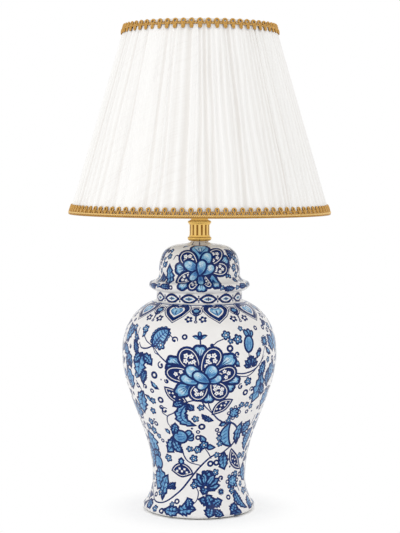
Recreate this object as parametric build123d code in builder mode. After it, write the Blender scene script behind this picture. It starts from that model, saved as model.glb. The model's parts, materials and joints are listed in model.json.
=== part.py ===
from build123d import *
import math
import os

# Ginger jar table lamp with a pleated empire shade.
# Millimetres, +Z up. The origin is on the lamp's axis at the surface that it stands on,
# and the front of the lamp looks along -Y.

os.makedirs("parts", exist_ok=True)

# ---------------------------------------------------------------- driving dimensions

# Jar: a glazed ceramic temple jar, heights taken from the foot's rim upwards
felt_thickness = 1.0
rim_inner_radius = 64.5
rim_width = 7.0
lip_flare = 5.8
lip_height = 8.0
waist_radius = 65.0
waist_height = 46.0
belly_radius = 108.0
belly_rise = 174.0
neck_radius = 59.6
shoulder_rise = 74.0
neck_height = 13.0
jar_wall = 5.0
recess_depth = 19.0
recess_draft = 6.5
floor_thickness = 6.0

# Cord outlet through the back of the foot
cord_hole_height = 8.5
bushing_bore_radius = 3.6
bushing_barrel_radius = 5.0
bushing_flange_radius = 6.4
bushing_flange_thickness = 2.0
spot_face_depth = 5.0

# Lid
lid_wall = 5.0
lid_skirt_depth = 10.0
flange_radius = 70.1
flange_rise = 8.0
flange_edge_height = 8.8
dome_radius = 56.5
dome_foot_rise = 23.0
dome_rise = 41.5
stub_radius = 12.0
stub_shoulder_radius = 24.0
stub_height = 4.3

# Threaded rod and the stack under the jar's floor
rod_radius = 4.8
rod_bore_radius = 3.2
rod_hole_clearance = 0.7
rod_end_gap = 2.0
thread_clearance = 0.1
rubber_washer_radius = 16.0
rubber_washer_thickness = 2.0
steel_washer_radius = 19.0
steel_washer_thickness = 1.5
lock_washer_radius = 8.4
lock_washer_thickness = 1.6
lock_washer_gap = 1.6
nut_across_flats = 14.3
nut_thickness = 5.0

# Brass neck
base_ring_radius = 16.8
base_ring_height = 8.1
barrel_radius = 13.9
barrel_height = 14.7
flute_count = 14
flute_radius = 2.6
flute_depth = 0.7
top_ring_radius = 16.4
top_ring_height = 6.3
locknut_radius = 12.1
locknut_height = 5.1

# Harp: the wire bow that carries the shade
saddle_thickness = 1.5
saddle_width = 11.0
saddle_hub_radius = 10.0
saddle_half_span = 29.0
saddle_collar_radius = 3.4
saddle_collar_height = 7.5
saddle_post_height = 8.0
harp_wire_radius = 2.2
harp_joint_gap = 0.2
harp_leg_length = 34.0
harp_half_width = 57.0
harp_height = 235.0
harp_lower_bend_rise = 99.0
harp_upper_bend_rise = 176.0
harp_top_half_width = 22.0
harp_bend_radius = 55.0
harp_top_bend_radius = 22.0
sleeve_wall = 1.4
sleeve_length = 16.0
sleeve_clearance = 0.05
stud_radius = 3.1
stud_height = 14.0
stud_plate_radius = 8.5
stud_plate_thickness = 1.8
cradle_length = 12.0
cradle_width = 7.4
cradle_depth = 2.6

# Lamp holder
cap_hub_radius = 8.5
cap_hub_height = 8.5
cap_cup_height = 12.0
cap_wall = 0.6
shell_radius = 16.5
shell_wall = 0.5
shell_height = 46.0
shell_lap = 7.0
shell_fit = 0.1
shell_lip = 0.7
liner_gap = 0.15
liner_wall = 0.7
holder_base_radius = 14.7
holder_base_height = 18.0
holder_base_lift = 0.5
terminal_flat = 12.4
terminal_head_radius = 3.0
terminal_head_thickness = 2.0
terminal_shank_radius = 1.7
terminal_shank_length = 5.0
terminal_height = 6.0
screw_shell_radius = 13.65
screw_shell_wall = 0.4
screw_shell_height = 23.0
contact_strip_thickness = 0.8
contact_strip_width = 5.0
contact_strip_length = 14.0
setscrew_radius = 1.5
setscrew_head_radius = 2.5
setscrew_head_length = 2.0
stem_radius = 1.6
stem_depth = 9.0
stem_length = 21.0
stem_clearance = 0.06
stem_hole_clearance = 0.5
stem_height = 12.5
knob_radius = 6.0
knob_length = 11.0
knob_gap = 3.0
knob_flute_count = 12
knob_flute_radius = 1.1
knob_face_chamfer = 0.8

# Bulb, a standard medium screw bulb
bulb_cap_clearance = 0.08
bulb_cap_height = 25.0
bulb_cap_wall = 0.4
bulb_insulator_height = 2.6
bulb_contact_height = 0.9
bulb_contact_radius = 4.5
bulb_radius = 30.0
bulb_equator_rise = 50.0
bulb_glass_height = 80.0
bulb_glass_wall = 0.9
bulb_stem_radius = 4.0
bulb_stem_height = 30.0
filament_radius = 0.5
filament_half_span = 11.0
filament_rise = 22.0

# Shade: a pleated cloth cone on a wire frame
shade_bottom_radius = 180.5
shade_top_radius = 104.3
shade_height = 259.5
shade_drop = 24.0
pleat_count = 96
pleat_depth = 2.4
cover_backing = 0.8
layer_gap = 0.1
frame_wire_radius = 1.6
rib_radius = 1.1
rib_count = 8
rib_turn = 22.5
lining_thickness = 0.8
frame_edge_inset = 1.0
spider_arm_radius = 1.8
spider_arm_count = 3
spider_arm_turn = 90.0
spider_arm_bend = 5.5
spider_arm_step = 8.0
spider_hub_radius = 12.5
spider_hub_thickness = 2.0
spider_bore_clearance = 0.4
braid_width = 15.0
braid_thickness = 1.2
braid_overhang = 1.0

# Finial
finial_gap = 0.3
finial_base_radius = 7.0
finial_base_height = 2.4
finial_neck_radius = 4.6
finial_ball_radius = 6.6
finial_height = 20.0
finial_thread_clearance = 0.06

# Gap between pieces that turn or slide past one another
moving_gap = 0.3

# ---------------------------------------------------------------- levels of the stack

rim_outer_radius = rim_inner_radius + rim_width
lip_radius = rim_outer_radius + lip_flare
bushing_seat_y = lip_radius - spot_face_depth

rim_z = felt_thickness
recess_z = rim_z + recess_depth
floor_z = recess_z + floor_thickness
lip_z = rim_z + lip_height
waist_z = rim_z + waist_height
belly_z = waist_z + belly_rise
neck_root_z = belly_z + shoulder_rise
neck_top_z = neck_root_z + neck_height
dome_foot_z = neck_top_z + dome_foot_rise
dome_top_z = dome_foot_z + dome_rise
lid_top_z = dome_top_z + stub_height
base_ring_z = lid_top_z
barrel_z = base_ring_z + base_ring_height
top_ring_z = barrel_z + barrel_height
locknut_z = top_ring_z + top_ring_height
saddle_z = locknut_z + locknut_height
cap_z = saddle_z + saddle_thickness
cup_z = cap_z + cap_hub_height
cup_rim_z = cup_z + cap_cup_height + cap_wall
shell_z = cup_rim_z - shell_lap
shell_top_z = shell_z + shell_height
holder_z = shell_z + holder_base_lift
holder_top_z = holder_z + holder_base_height
bulb_contact_z = holder_top_z + contact_strip_thickness + moving_gap
bulb_insulator_z = bulb_contact_z + bulb_contact_height
bulb_cap_z = bulb_insulator_z + bulb_insulator_height
bulb_glass_z = bulb_cap_z + bulb_cap_height
collar_top_z = cap_z + saddle_collar_height
post_top_z = collar_top_z + saddle_post_height
harp_foot_z = post_top_z + harp_joint_gap
harp_top_z = saddle_z + harp_height
plate_z = harp_top_z + harp_wire_radius
plate_top_z = plate_z + stud_plate_thickness
spider_z = plate_top_z + moving_gap
finial_z = spider_z + spider_hub_thickness + finial_gap
shade_top_z = spider_z + shade_drop
shade_bottom_z = shade_top_z - shade_height

rod_hole_radius = rod_radius + rod_hole_clearance
threaded_hole_radius = rod_radius + thread_clearance


def shade_radius(z, inset):
    """Radius of a cone that lies inset mm inside the pleats' crests, at height z."""
    slope = (shade_bottom_radius - shade_top_radius) / shade_height
    return shade_bottom_radius - slope * (z - shade_bottom_z) - inset


def pleat_point(angle, radius):
    """Point at an angle in degrees on a circle about the lamp's axis."""
    turn = math.radians(angle)
    return (radius * math.cos(turn), radius * math.sin(turn))


cover_inset = pleat_depth + cover_backing
wire_inset = cover_inset + layer_gap + frame_wire_radius
lining_inset = wire_inset + frame_wire_radius + layer_gap

# ---------------------------------------------------------------- jar

# The neck, shoulder, body and foot are curves that meet along common tangents.
body_waist_pull = 66.0
body_belly_pull = 59.0
shoulder_belly_pull = 45.0
shoulder_neck_pull = 24.0
shoulder_neck_drop = 8.0
foot_lip_pull = 10.2
foot_waist_pull = 19.0
lip_under_pull = 6.0

foot_slope = math.radians(128.2)
lip_tangent = (math.cos(foot_slope), math.sin(foot_slope))
inner_floor_radius = waist_radius - jar_wall

with BuildPart() as jar_body:
    with BuildSketch(Plane.XZ):
        with BuildLine():
            Bezier(
                (rim_outer_radius, rim_z),
                (rim_outer_radius + lip_under_pull, rim_z),
                (lip_radius - 3 * lip_tangent[0], lip_z - 3 * lip_tangent[1]),
                (lip_radius, lip_z),
            )
            Bezier(
                (lip_radius, lip_z),
                (lip_radius + foot_lip_pull * lip_tangent[0], lip_z + foot_lip_pull * lip_tangent[1]),
                (waist_radius, waist_z - foot_waist_pull),
                (waist_radius, waist_z),
            )
            Bezier(
                (waist_radius, waist_z),
                (waist_radius, waist_z + body_waist_pull),
                (belly_radius, belly_z - body_belly_pull),
                (belly_radius, belly_z),
            )
            Bezier(
                (belly_radius, belly_z),
                (belly_radius, belly_z + shoulder_belly_pull),
                (neck_radius + shoulder_neck_pull, neck_root_z - shoulder_neck_drop),
                (neck_radius, neck_root_z),
            )
            Polyline(
                (neck_radius, neck_root_z),
                (neck_radius, neck_top_z),
                (neck_radius - jar_wall, neck_top_z),
                (neck_radius - jar_wall, neck_root_z - jar_wall),
            )
            Bezier(
                (neck_radius - jar_wall, neck_root_z - jar_wall),
                (neck_radius + shoulder_neck_pull - jar_wall, neck_root_z - shoulder_neck_drop - jar_wall),
                (belly_radius - jar_wall, belly_z + shoulder_belly_pull),
                (belly_radius - jar_wall, belly_z),
            )
            Bezier(
                (belly_radius - jar_wall, belly_z),
                (belly_radius - jar_wall, belly_z - body_belly_pull),
                (inner_floor_radius, waist_z + body_waist_pull),
                (inner_floor_radius, waist_z),
            )
            Polyline(
                (inner_floor_radius, waist_z),
                (inner_floor_radius, floor_z),
                (rod_hole_radius, floor_z),
                (rod_hole_radius, recess_z),
                (rim_inner_radius - recess_draft, recess_z),
                (rim_inner_radius, rim_z),
                (rim_outer_radius, rim_z),
            )
        make_face()
    revolve(axis=Axis.Z)
    # The cord's hole, with a spot face outside that seats its bushing
    with BuildSketch(Plane.XZ.offset(-bushing_seat_y)):
        with Locations((0, rim_z + cord_hole_height)):
            Circle(bushing_flange_radius + moving_gap)
    extrude(amount=-lip_radius, mode=Mode.SUBTRACT)
    with BuildSketch(Plane.XZ):
        with Locations((0, rim_z + cord_hole_height)):
            Circle(bushing_barrel_radius + thread_clearance)
    extrude(amount=-lip_radius, mode=Mode.SUBTRACT)
jar_body.part.label = "jar_body"
export_step(jar_body.part, "parts/jar_body.step")

with BuildPart() as foot_felt:
    with BuildSketch():
        Circle(rim_outer_radius)
        Circle(rim_inner_radius, mode=Mode.SUBTRACT)
    extrude(amount=felt_thickness)
foot_felt.part.label = "foot_felt"
export_step(foot_felt.part, "parts/foot_felt.step")

# The bushing runs from the recess's wall to just outside its spot face.
bushing_inner_y = rim_inner_radius - recess_draft * cord_hole_height / recess_depth
with BuildPart() as cord_bushing:
    with BuildSketch(Plane.XZ.offset(-bushing_inner_y)):
        with Locations((0, rim_z + cord_hole_height)):
            Circle(bushing_barrel_radius)
            Circle(bushing_bore_radius, mode=Mode.SUBTRACT)
    extrude(amount=-(bushing_seat_y - bushing_inner_y))
    with BuildSketch(Plane.XZ.offset(-bushing_seat_y)):
        with Locations((0, rim_z + cord_hole_height)):
            Circle(bushing_flange_radius)
            Circle(bushing_bore_radius, mode=Mode.SUBTRACT)
    extrude(amount=-bushing_flange_thickness)
cord_bushing.part.label = "cord_bushing"
export_step(cord_bushing.part, "parts/cord_bushing.step")

# ---------------------------------------------------------------- lid

skirt_radius = neck_radius - jar_wall - 2 * thread_clearance
tip_radius = flange_edge_height / 2
flange_z = neck_top_z + flange_rise
edge_radius = flange_radius - tip_radius * 0.45
dome_bend_pull = 27.0
dome_crown_pull = 26.0
crown_sag = 1.5
flange_under_pull = 3.6
flange_over_pull = 4.6
dome_root_pull = 8.0
stub_flare_pull = 2.5

with BuildPart() as jar_lid:
    with BuildSketch(Plane.XZ):
        with BuildLine():
            Polyline(
                (rod_hole_radius, lid_top_z),
                (stub_radius, lid_top_z),
            )
            Bezier(
                (stub_radius, lid_top_z),
                (stub_radius, lid_top_z - stub_flare_pull),
                (stub_shoulder_radius - stub_radius * 0.6, dome_top_z + crown_sag * 0.6),
                (stub_shoulder_radius, dome_top_z),
            )
            Bezier(
                (stub_shoulder_radius, dome_top_z),
                (stub_shoulder_radius + dome_crown_pull, dome_top_z - crown_sag),
                (dome_radius, dome_foot_z + dome_bend_pull),
                (dome_radius, dome_foot_z),
            )
            Bezier(
                (dome_radius, dome_foot_z),
                (dome_radius, dome_foot_z - dome_root_pull),
                (edge_radius - flange_over_pull, flange_z + tip_radius + 2),
                (edge_radius, flange_z + tip_radius),
            )
            ThreePointArc(
                (edge_radius, flange_z + tip_radius),
                (flange_radius, flange_z),
                (edge_radius, flange_z - tip_radius),
            )
            Bezier(
                (edge_radius, flange_z - tip_radius),
                (edge_radius - flange_under_pull, neck_top_z + 1),
                (neck_radius + flange_under_pull, neck_top_z),
                (neck_radius, neck_top_z),
            )
            Polyline(
                (neck_radius, neck_top_z),
                (skirt_radius, neck_top_z),
                (skirt_radius, neck_top_z - lid_skirt_depth),
                (skirt_radius - lid_wall, neck_top_z - lid_skirt_depth),
                (skirt_radius - lid_wall, dome_foot_z),
            )
            Bezier(
                (skirt_radius - lid_wall, dome_foot_z),
                (skirt_radius - lid_wall, dome_foot_z + dome_bend_pull - lid_wall),
                (stub_shoulder_radius + dome_crown_pull - lid_wall, dome_top_z - crown_sag - lid_wall),
                (stub_shoulder_radius, dome_top_z - lid_wall),
            )
            Polyline(
                (stub_shoulder_radius, dome_top_z - lid_wall),
                (rod_hole_radius, dome_top_z - lid_wall),
                (rod_hole_radius, lid_top_z),
            )
        make_face()
    revolve(axis=Axis.Z)
jar_lid.part.label = "jar_lid"
export_step(jar_lid.part, "parts/jar_lid.step")

# ---------------------------------------------------------------- rod and base hardware

rubber_washer_z = recess_z - rubber_washer_thickness
steel_washer_z = rubber_washer_z - steel_washer_thickness
lock_washer_z = steel_washer_z - lock_washer_thickness
nut_z = lock_washer_z - nut_thickness
rod_z = nut_z - rod_end_gap
rod_top_z = cup_z - rod_end_gap

with BuildPart() as lamp_rod:
    with BuildSketch(Plane.XY.offset(rod_z)):
        Circle(rod_radius)
        Circle(rod_bore_radius, mode=Mode.SUBTRACT)
    extrude(amount=rod_top_z - rod_z)
lamp_rod.part.label = "lamp_rod"
export_step(lamp_rod.part, "parts/lamp_rod.step")

with BuildPart() as base_rubber_washer:
    with BuildSketch(Plane.XY.offset(rubber_washer_z)):
        Circle(rubber_washer_radius)
        Circle(threaded_hole_radius, mode=Mode.SUBTRACT)
    extrude(amount=rubber_washer_thickness)
base_rubber_washer.part.label = "base_rubber_washer"
export_step(base_rubber_washer.part, "parts/base_rubber_washer.step")

with BuildPart() as base_steel_washer:
    with BuildSketch(Plane.XY.offset(steel_washer_z)):
        Circle(steel_washer_radius)
        Circle(threaded_hole_radius, mode=Mode.SUBTRACT)
    extrude(amount=steel_washer_thickness)
base_steel_washer.part.label = "base_steel_washer"
export_step(base_steel_washer.part, "parts/base_steel_washer.step")

# A split spring washer
with BuildPart() as base_lock_washer:
    with BuildSketch(Plane.XY.offset(lock_washer_z)):
        Circle(lock_washer_radius)
        Circle(threaded_hole_radius, mode=Mode.SUBTRACT)
        with Locations((lock_washer_radius, 0)):
            Rectangle(2 * lock_washer_radius, lock_washer_gap, mode=Mode.SUBTRACT)
    extrude(amount=lock_washer_thickness)
base_lock_washer.part.label = "base_lock_washer"
export_step(base_lock_washer.part, "parts/base_lock_washer.step")

with BuildPart() as base_nut:
    with BuildSketch(Plane.XY.offset(nut_z)):
        RegularPolygon(nut_across_flats / 2, 6, major_radius=False)
        Circle(threaded_hole_radius, mode=Mode.SUBTRACT)
    extrude(amount=nut_thickness)
base_nut.part.label = "base_nut"
export_step(base_nut.part, "parts/base_nut.step")

# ---------------------------------------------------------------- brass neck

ring_bead = 2.0

with BuildPart() as neck_base_ring:
    with BuildSketch(Plane.XZ):
        with BuildLine():
            Line((rod_hole_radius, base_ring_z), (base_ring_radius - 2 * ring_bead, base_ring_z))
            Bezier(
                (base_ring_radius - 2 * ring_bead, base_ring_z),
                (base_ring_radius - ring_bead, base_ring_z),
                (base_ring_radius, base_ring_z + ring_bead / 2),
                (base_ring_radius, base_ring_z + ring_bead * 2),
            )
            ThreePointArc(
                (base_ring_radius, base_ring_z + ring_bead * 2),
                (base_ring_radius - ring_bead * 0.3, base_ring_z + ring_bead * 2.7),
                (base_ring_radius - ring_bead, base_ring_z + ring_bead * 3),
            )
            Polyline(
                (base_ring_radius - ring_bead, base_ring_z + ring_bead * 3),
                (barrel_radius + ring_bead * 0.4, base_ring_z + ring_bead * 3),
                (barrel_radius + ring_bead * 0.4, barrel_z),
                (rod_hole_radius, barrel_z),
                (rod_hole_radius, base_ring_z),
            )
        make_face()
    revolve(axis=Axis.Z)
neck_base_ring.part.label = "neck_base_ring"
export_step(neck_base_ring.part, "parts/neck_base_ring.step")

with BuildPart() as neck_barrel:
    with BuildSketch(Plane.XY.offset(barrel_z)):
        Circle(barrel_radius)
        Circle(rod_hole_radius, mode=Mode.SUBTRACT)
        with PolarLocations(barrel_radius + flute_radius - flute_depth, flute_count, start_angle=-90):
            Circle(flute_radius, mode=Mode.SUBTRACT)
    extrude(amount=barrel_height)
neck_barrel.part.label = "neck_barrel"
export_step(neck_barrel.part, "parts/neck_barrel.step")

with BuildPart() as neck_top_ring:
    with BuildSketch(Plane.XZ):
        with BuildLine():
            Polyline(
                (rod_hole_radius, top_ring_z),
                (barrel_radius + ring_bead * 0.5, top_ring_z),
                (barrel_radius + ring_bead * 0.5, top_ring_z + ring_bead * 0.7),
                (top_ring_radius - ring_bead * 0.3, top_ring_z + ring_bead * 0.7),
            )
            ThreePointArc(
                (top_ring_radius - ring_bead * 0.3, top_ring_z + ring_bead * 0.7),
                (top_ring_radius, top_ring_z + ring_bead * 1.6),
                (top_ring_radius - ring_bead * 0.3, top_ring_z + ring_bead * 2.5),
            )
            Polyline(
                (top_ring_radius - ring_bead * 0.3, top_ring_z + ring_bead * 2.5),
                (barrel_radius + ring_bead * 0.2, top_ring_z + ring_bead * 2.5),
                (barrel_radius, locknut_z),
                (rod_hole_radius, locknut_z),
                (rod_hole_radius, top_ring_z),
            )
        make_face()
    revolve(axis=Axis.Z)
neck_top_ring.part.label = "neck_top_ring"
export_step(neck_top_ring.part, "parts/neck_top_ring.step")

with BuildPart() as neck_locknut:
    with BuildSketch(Plane.XY.offset(locknut_z)):
        Circle(locknut_radius)
        Circle(threaded_hole_radius, mode=Mode.SUBTRACT)
    extrude(amount=locknut_height)
    chamfer(neck_locknut.edges().filter_by(GeomType.CIRCLE).sort_by(SortBy.RADIUS)[-2:], 0.6)
neck_locknut.part.label = "neck_locknut"
export_step(neck_locknut.part, "parts/neck_locknut.step")

# ---------------------------------------------------------------- harp

with BuildPart() as harp_saddle:
    with BuildSketch(Plane.XY.offset(saddle_z)):
        Rectangle(2 * saddle_half_span, saddle_width * 0.7)
        Circle(saddle_hub_radius)
        with Locations((-saddle_half_span, 0), (saddle_half_span, 0)):
            Circle(saddle_collar_radius + 1)
        Circle(threaded_hole_radius, mode=Mode.SUBTRACT)
    extrude(amount=saddle_thickness)
    with BuildSketch(Plane.XY.offset(cap_z)):
        with Locations((-saddle_half_span, 0), (saddle_half_span, 0)):
            Circle(saddle_collar_radius)
    extrude(amount=saddle_collar_height)
    with BuildSketch(Plane.XY.offset(collar_top_z)):
        with Locations((-saddle_half_span, 0), (saddle_half_span, 0)):
            Circle(harp_wire_radius)
    extrude(amount=saddle_post_height)
harp_saddle.part.label = "harp_saddle"
export_step(harp_saddle.part, "parts/harp_saddle.step")

# The bow is one wire: straight legs, two wide bends and a flat top.
with BuildPart() as harp_bow:
    with BuildLine(Plane.XZ) as harp_path:
        FilletPolyline(
            (-saddle_half_span, harp_foot_z),
            (-saddle_half_span, harp_foot_z + harp_leg_length),
            (-harp_half_width, saddle_z + harp_lower_bend_rise),
            (-harp_half_width, saddle_z + harp_upper_bend_rise),
            (-harp_top_half_width, harp_top_z),
            (harp_top_half_width, harp_top_z),
            (harp_half_width, saddle_z + harp_upper_bend_rise),
            (harp_half_width, saddle_z + harp_lower_bend_rise),
            (saddle_half_span, harp_foot_z + harp_leg_length),
            (saddle_half_span, harp_foot_z),
            radius=[
                harp_top_bend_radius,
                harp_bend_radius,
                harp_bend_radius,
                harp_top_bend_radius,
                harp_top_bend_radius,
                harp_bend_radius,
                harp_bend_radius,
                harp_top_bend_radius,
            ],
        )
    with BuildSketch(Plane.XY.offset(harp_foot_z)):
        with Locations((-saddle_half_span, 0)):
            Circle(harp_wire_radius)
    sweep(path=harp_path.line)
harp_bow.part.label = "harp_bow"
export_step(harp_bow.part, "parts/harp_bow.step")

# A cradle grips the bow's flat top and carries the plate and stud that hold the shade.
with BuildPart() as harp_stud:
    with BuildSketch(Plane.XY.offset(plate_z)):
        Circle(stud_plate_radius)
    extrude(amount=stud_plate_thickness)
    with BuildSketch(Plane.XY.offset(plate_top_z)):
        Circle(stud_radius)
    extrude(amount=stud_height)
    with BuildSketch(Plane.XY.offset(plate_z)):
        Rectangle(cradle_length, cradle_width)
    extrude(amount=-cradle_depth)
    with BuildSketch(Plane.YZ.offset(-cradle_length)):
        with Locations((0, harp_top_z)):
            Circle(harp_wire_radius)
        with Locations((0, harp_top_z - harp_wire_radius)):
            Rectangle(2 * harp_wire_radius, 2 * harp_wire_radius)
    extrude(amount=2 * cradle_length, mode=Mode.SUBTRACT)
harp_stud.part.label = "harp_stud"
export_step(harp_stud.part, "parts/harp_stud.step")

# Two sleeves lock the bow's legs on the saddle's posts, and lift to free them.
sleeve_bore_radius = harp_wire_radius + sleeve_clearance
for side, x in (("left", -saddle_half_span), ("right", saddle_half_span)):
    with BuildPart() as harp_sleeve:
        with BuildSketch(Plane.XY.offset(collar_top_z + moving_gap)):
            with Locations((x, 0)):
                Circle(sleeve_bore_radius + sleeve_wall)
                Circle(sleeve_bore_radius, mode=Mode.SUBTRACT)
        extrude(amount=sleeve_length)
    harp_sleeve.part.label = f"harp_sleeve_{side}"
    export_step(harp_sleeve.part, f"parts/harp_sleeve_{side}.step")

# ---------------------------------------------------------------- lamp holder

cap_rim_radius = shell_radius + shell_fit
with BuildPart() as socket_cap:
    with BuildSketch(Plane.XZ):
        with BuildLine():
            Polyline(
                (threaded_hole_radius, cap_z),
                (cap_hub_radius, cap_z),
                (cap_hub_radius, cup_z),
            )
            Bezier(
                (cap_hub_radius, cup_z),
                (cap_rim_radius + cap_wall - 3, cup_z + 0.5),
                (cap_rim_radius + cap_wall, cup_z + 3),
                (cap_rim_radius + cap_wall, shell_z - 0.5),
            )
            Polyline(
                (cap_rim_radius + cap_wall, shell_z - 0.5),
                (cap_rim_radius + cap_wall, cup_rim_z),
                (cap_rim_radius, cup_rim_z),
                (cap_rim_radius, shell_z - 0.5),
            )
            Bezier(
                (cap_rim_radius, shell_z - 0.5),
                (cap_rim_radius, cup_z + 3 + cap_wall),
                (cap_rim_radius - 3, cup_z + 0.5 + cap_wall),
                (cap_hub_radius, cup_z + cap_wall),
            )
            Polyline(
                (cap_hub_radius, cup_z + cap_wall),
                (threaded_hole_radius, cup_z + cap_wall),
                (threaded_hole_radius, cap_z),
            )
        make_face()
    revolve(axis=Axis.Z)
    with BuildSketch(Plane.XZ):
        with Locations((0, cap_z + cap_hub_height / 2)):
            Circle(setscrew_radius + thread_clearance)
    extrude(amount=-2 * cap_hub_radius, mode=Mode.SUBTRACT)
socket_cap.part.label = "socket_cap"
export_step(socket_cap.part, "parts/socket_cap.step")

with BuildPart() as socket_setscrew:
    with BuildSketch(Plane.XZ.offset(-rod_radius - thread_clearance)):
        with Locations((0, cap_z + cap_hub_height / 2)):
            Circle(setscrew_radius)
    extrude(amount=-(cap_hub_radius - rod_radius))
    with BuildSketch(Plane.XZ.offset(-cap_hub_radius)):
        with Locations((0, cap_z + cap_hub_height / 2)):
            Circle(setscrew_head_radius)
    extrude(amount=-setscrew_head_length)
    with BuildSketch(Plane.XZ.offset(-cap_hub_radius - setscrew_head_length)):
        with Locations((0, cap_z + cap_hub_height / 2)):
            Rectangle(setscrew_head_length / 2, 3 * setscrew_head_radius)
    extrude(amount=setscrew_head_length / 3, mode=Mode.SUBTRACT)
socket_setscrew.part.label = "socket_setscrew"
export_step(socket_setscrew.part, "parts/socket_setscrew.step")

stem_z = holder_z + stem_height
shell_inner_radius = shell_radius - shell_wall
with BuildPart() as socket_shell:
    with BuildSketch(Plane.XZ):
        Polygon(
            (shell_inner_radius, shell_z),
            (shell_radius, shell_z),
            (shell_radius, shell_top_z - 2 * shell_lip),
            (shell_radius + shell_lip, shell_top_z - shell_lip),
            (shell_radius, shell_top_z),
            (shell_inner_radius, shell_top_z),
            align=None,
        )
    revolve(axis=Axis.Z)
    with BuildSketch(Plane.XZ):
        with Locations((0, stem_z)):
            Circle(stem_radius + stem_hole_clearance)
    extrude(amount=2 * shell_radius, mode=Mode.SUBTRACT)
socket_shell.part.label = "socket_shell"
export_step(socket_shell.part, "parts/socket_shell.step")

liner_radius = shell_inner_radius - liner_gap
with BuildPart() as socket_liner:
    with BuildSketch(Plane.XY.offset(shell_z + liner_wall)):
        Circle(liner_radius)
        Circle(liner_radius - liner_wall, mode=Mode.SUBTRACT)
    extrude(amount=shell_height - 2 * liner_wall)
    with BuildSketch(Plane.XZ):
        with Locations((0, stem_z)):
            Circle(stem_radius + stem_hole_clearance)
    extrude(amount=2 * shell_radius, mode=Mode.SUBTRACT)
socket_liner.part.label = "socket_liner"
export_step(socket_liner.part, "parts/socket_liner.step")

# The moulded base holds the switch, the terminals and the screw shell.
with BuildPart() as socket_base:
    with BuildSketch(Plane.XY.offset(holder_z)):
        Circle(holder_base_radius)
    extrude(amount=holder_base_height)
    with BuildSketch(Plane.XY.offset(holder_z)):
        with Locations((-2 * terminal_flat, 0), (2 * terminal_flat, 0)):
            Rectangle(2 * terminal_flat, 4 * terminal_flat)
    extrude(amount=holder_base_height * 0.6, mode=Mode.SUBTRACT)
    with BuildSketch(Plane.XZ):
        with Locations((0, stem_z)):
            Circle(stem_radius + stem_clearance)
    extrude(amount=2 * holder_base_radius, mode=Mode.SUBTRACT)
    with BuildSketch(Plane.YZ.offset(-2 * terminal_flat)):
        with Locations((0, holder_z + terminal_height)):
            Circle(terminal_shank_radius)
    extrude(amount=4 * terminal_flat, mode=Mode.SUBTRACT)
socket_base.part.label = "socket_base"
export_step(socket_base.part, "parts/socket_base.step")

with BuildPart() as terminal_screws:
    for direction in (-1, 1):
        with BuildSketch(Plane.YZ.offset(direction * (terminal_flat - terminal_shank_length))):
            with Locations((0, holder_z + terminal_height)):
                Circle(terminal_shank_radius)
        extrude(amount=direction * terminal_shank_length)
        with BuildSketch(Plane.YZ.offset(direction * terminal_flat)):
            with Locations((0, holder_z + terminal_height)):
                Circle(terminal_head_radius)
        extrude(amount=direction * terminal_head_thickness)
terminal_screws.part.label = "terminal_screws"
export_step(terminal_screws.part, "parts/terminal_screws.step")

with BuildPart() as screw_shell:
    with BuildSketch(Plane.XY.offset(holder_top_z)):
        Circle(screw_shell_radius)
        Circle(screw_shell_radius - screw_shell_wall, mode=Mode.SUBTRACT)
    extrude(amount=screw_shell_height)
screw_shell.part.label = "screw_shell"
export_step(screw_shell.part, "parts/screw_shell.step")

with BuildPart() as center_contact:
    with BuildSketch(Plane.XY.offset(holder_top_z)):
        Rectangle(contact_strip_length, contact_strip_width)
    extrude(amount=contact_strip_thickness)
center_contact.part.label = "center_contact"
export_step(center_contact.part, "parts/center_contact.step")

# The switch's stem enters the base from the front and ends in a fluted knob.
knob_y = shell_radius + knob_gap
with BuildPart() as switch_stem:
    with BuildSketch(Plane.XZ.offset(stem_depth)):
        with Locations((0, stem_z)):
            Circle(stem_radius)
    extrude(amount=stem_length)
switch_stem.part.label = "switch_stem"
export_step(switch_stem.part, "parts/switch_stem.step")

with BuildPart() as switch_knob:
    with BuildSketch(Plane.XZ.offset(knob_y)):
        with Locations((0, stem_z)):
            Circle(knob_radius)
            with PolarLocations(knob_radius + knob_flute_radius / 2, knob_flute_count):
                Circle(knob_flute_radius, mode=Mode.SUBTRACT)
    extrude(amount=knob_length)
    chamfer(switch_knob.faces().sort_by(Axis.Y)[0].outer_wire().edges(), knob_face_chamfer)
    with BuildSketch(Plane.XZ.offset(knob_y)):
        with Locations((0, stem_z)):
            Circle(stem_radius)
    extrude(amount=stem_depth + stem_length - knob_y, mode=Mode.SUBTRACT)
switch_knob.part.label = "switch_knob"
export_step(switch_knob.part, "parts/switch_knob.step")

# ---------------------------------------------------------------- bulb

bulb_cap_radius = screw_shell_radius - screw_shell_wall - bulb_cap_clearance
with BuildPart() as bulb_screw_cap:
    with BuildSketch(Plane.XY.offset(bulb_cap_z)):
        Circle(bulb_cap_radius)
        Circle(bulb_cap_radius - bulb_cap_wall, mode=Mode.SUBTRACT)
    extrude(amount=bulb_cap_height)
bulb_screw_cap.part.label = "bulb_screw_cap"
export_step(bulb_screw_cap.part, "parts/bulb_screw_cap.step")

with BuildPart() as bulb_insulator:
    with BuildSketch(Plane.XY.offset(bulb_cap_z)):
        Circle(bulb_cap_radius - bulb_cap_wall)
    with BuildSketch(Plane.XY.offset(bulb_insulator_z)):
        Circle(bulb_contact_radius)
    loft()
bulb_insulator.part.label = "bulb_insulator"
export_step(bulb_insulator.part, "parts/bulb_insulator.step")

with BuildPart() as bulb_contact:
    with BuildSketch(Plane.XY.offset(bulb_contact_z)):
        Circle(bulb_contact_radius)
    extrude(amount=bulb_contact_height)
bulb_contact.part.label = "bulb_contact"
export_step(bulb_contact.part, "parts/bulb_contact.step")

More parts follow.
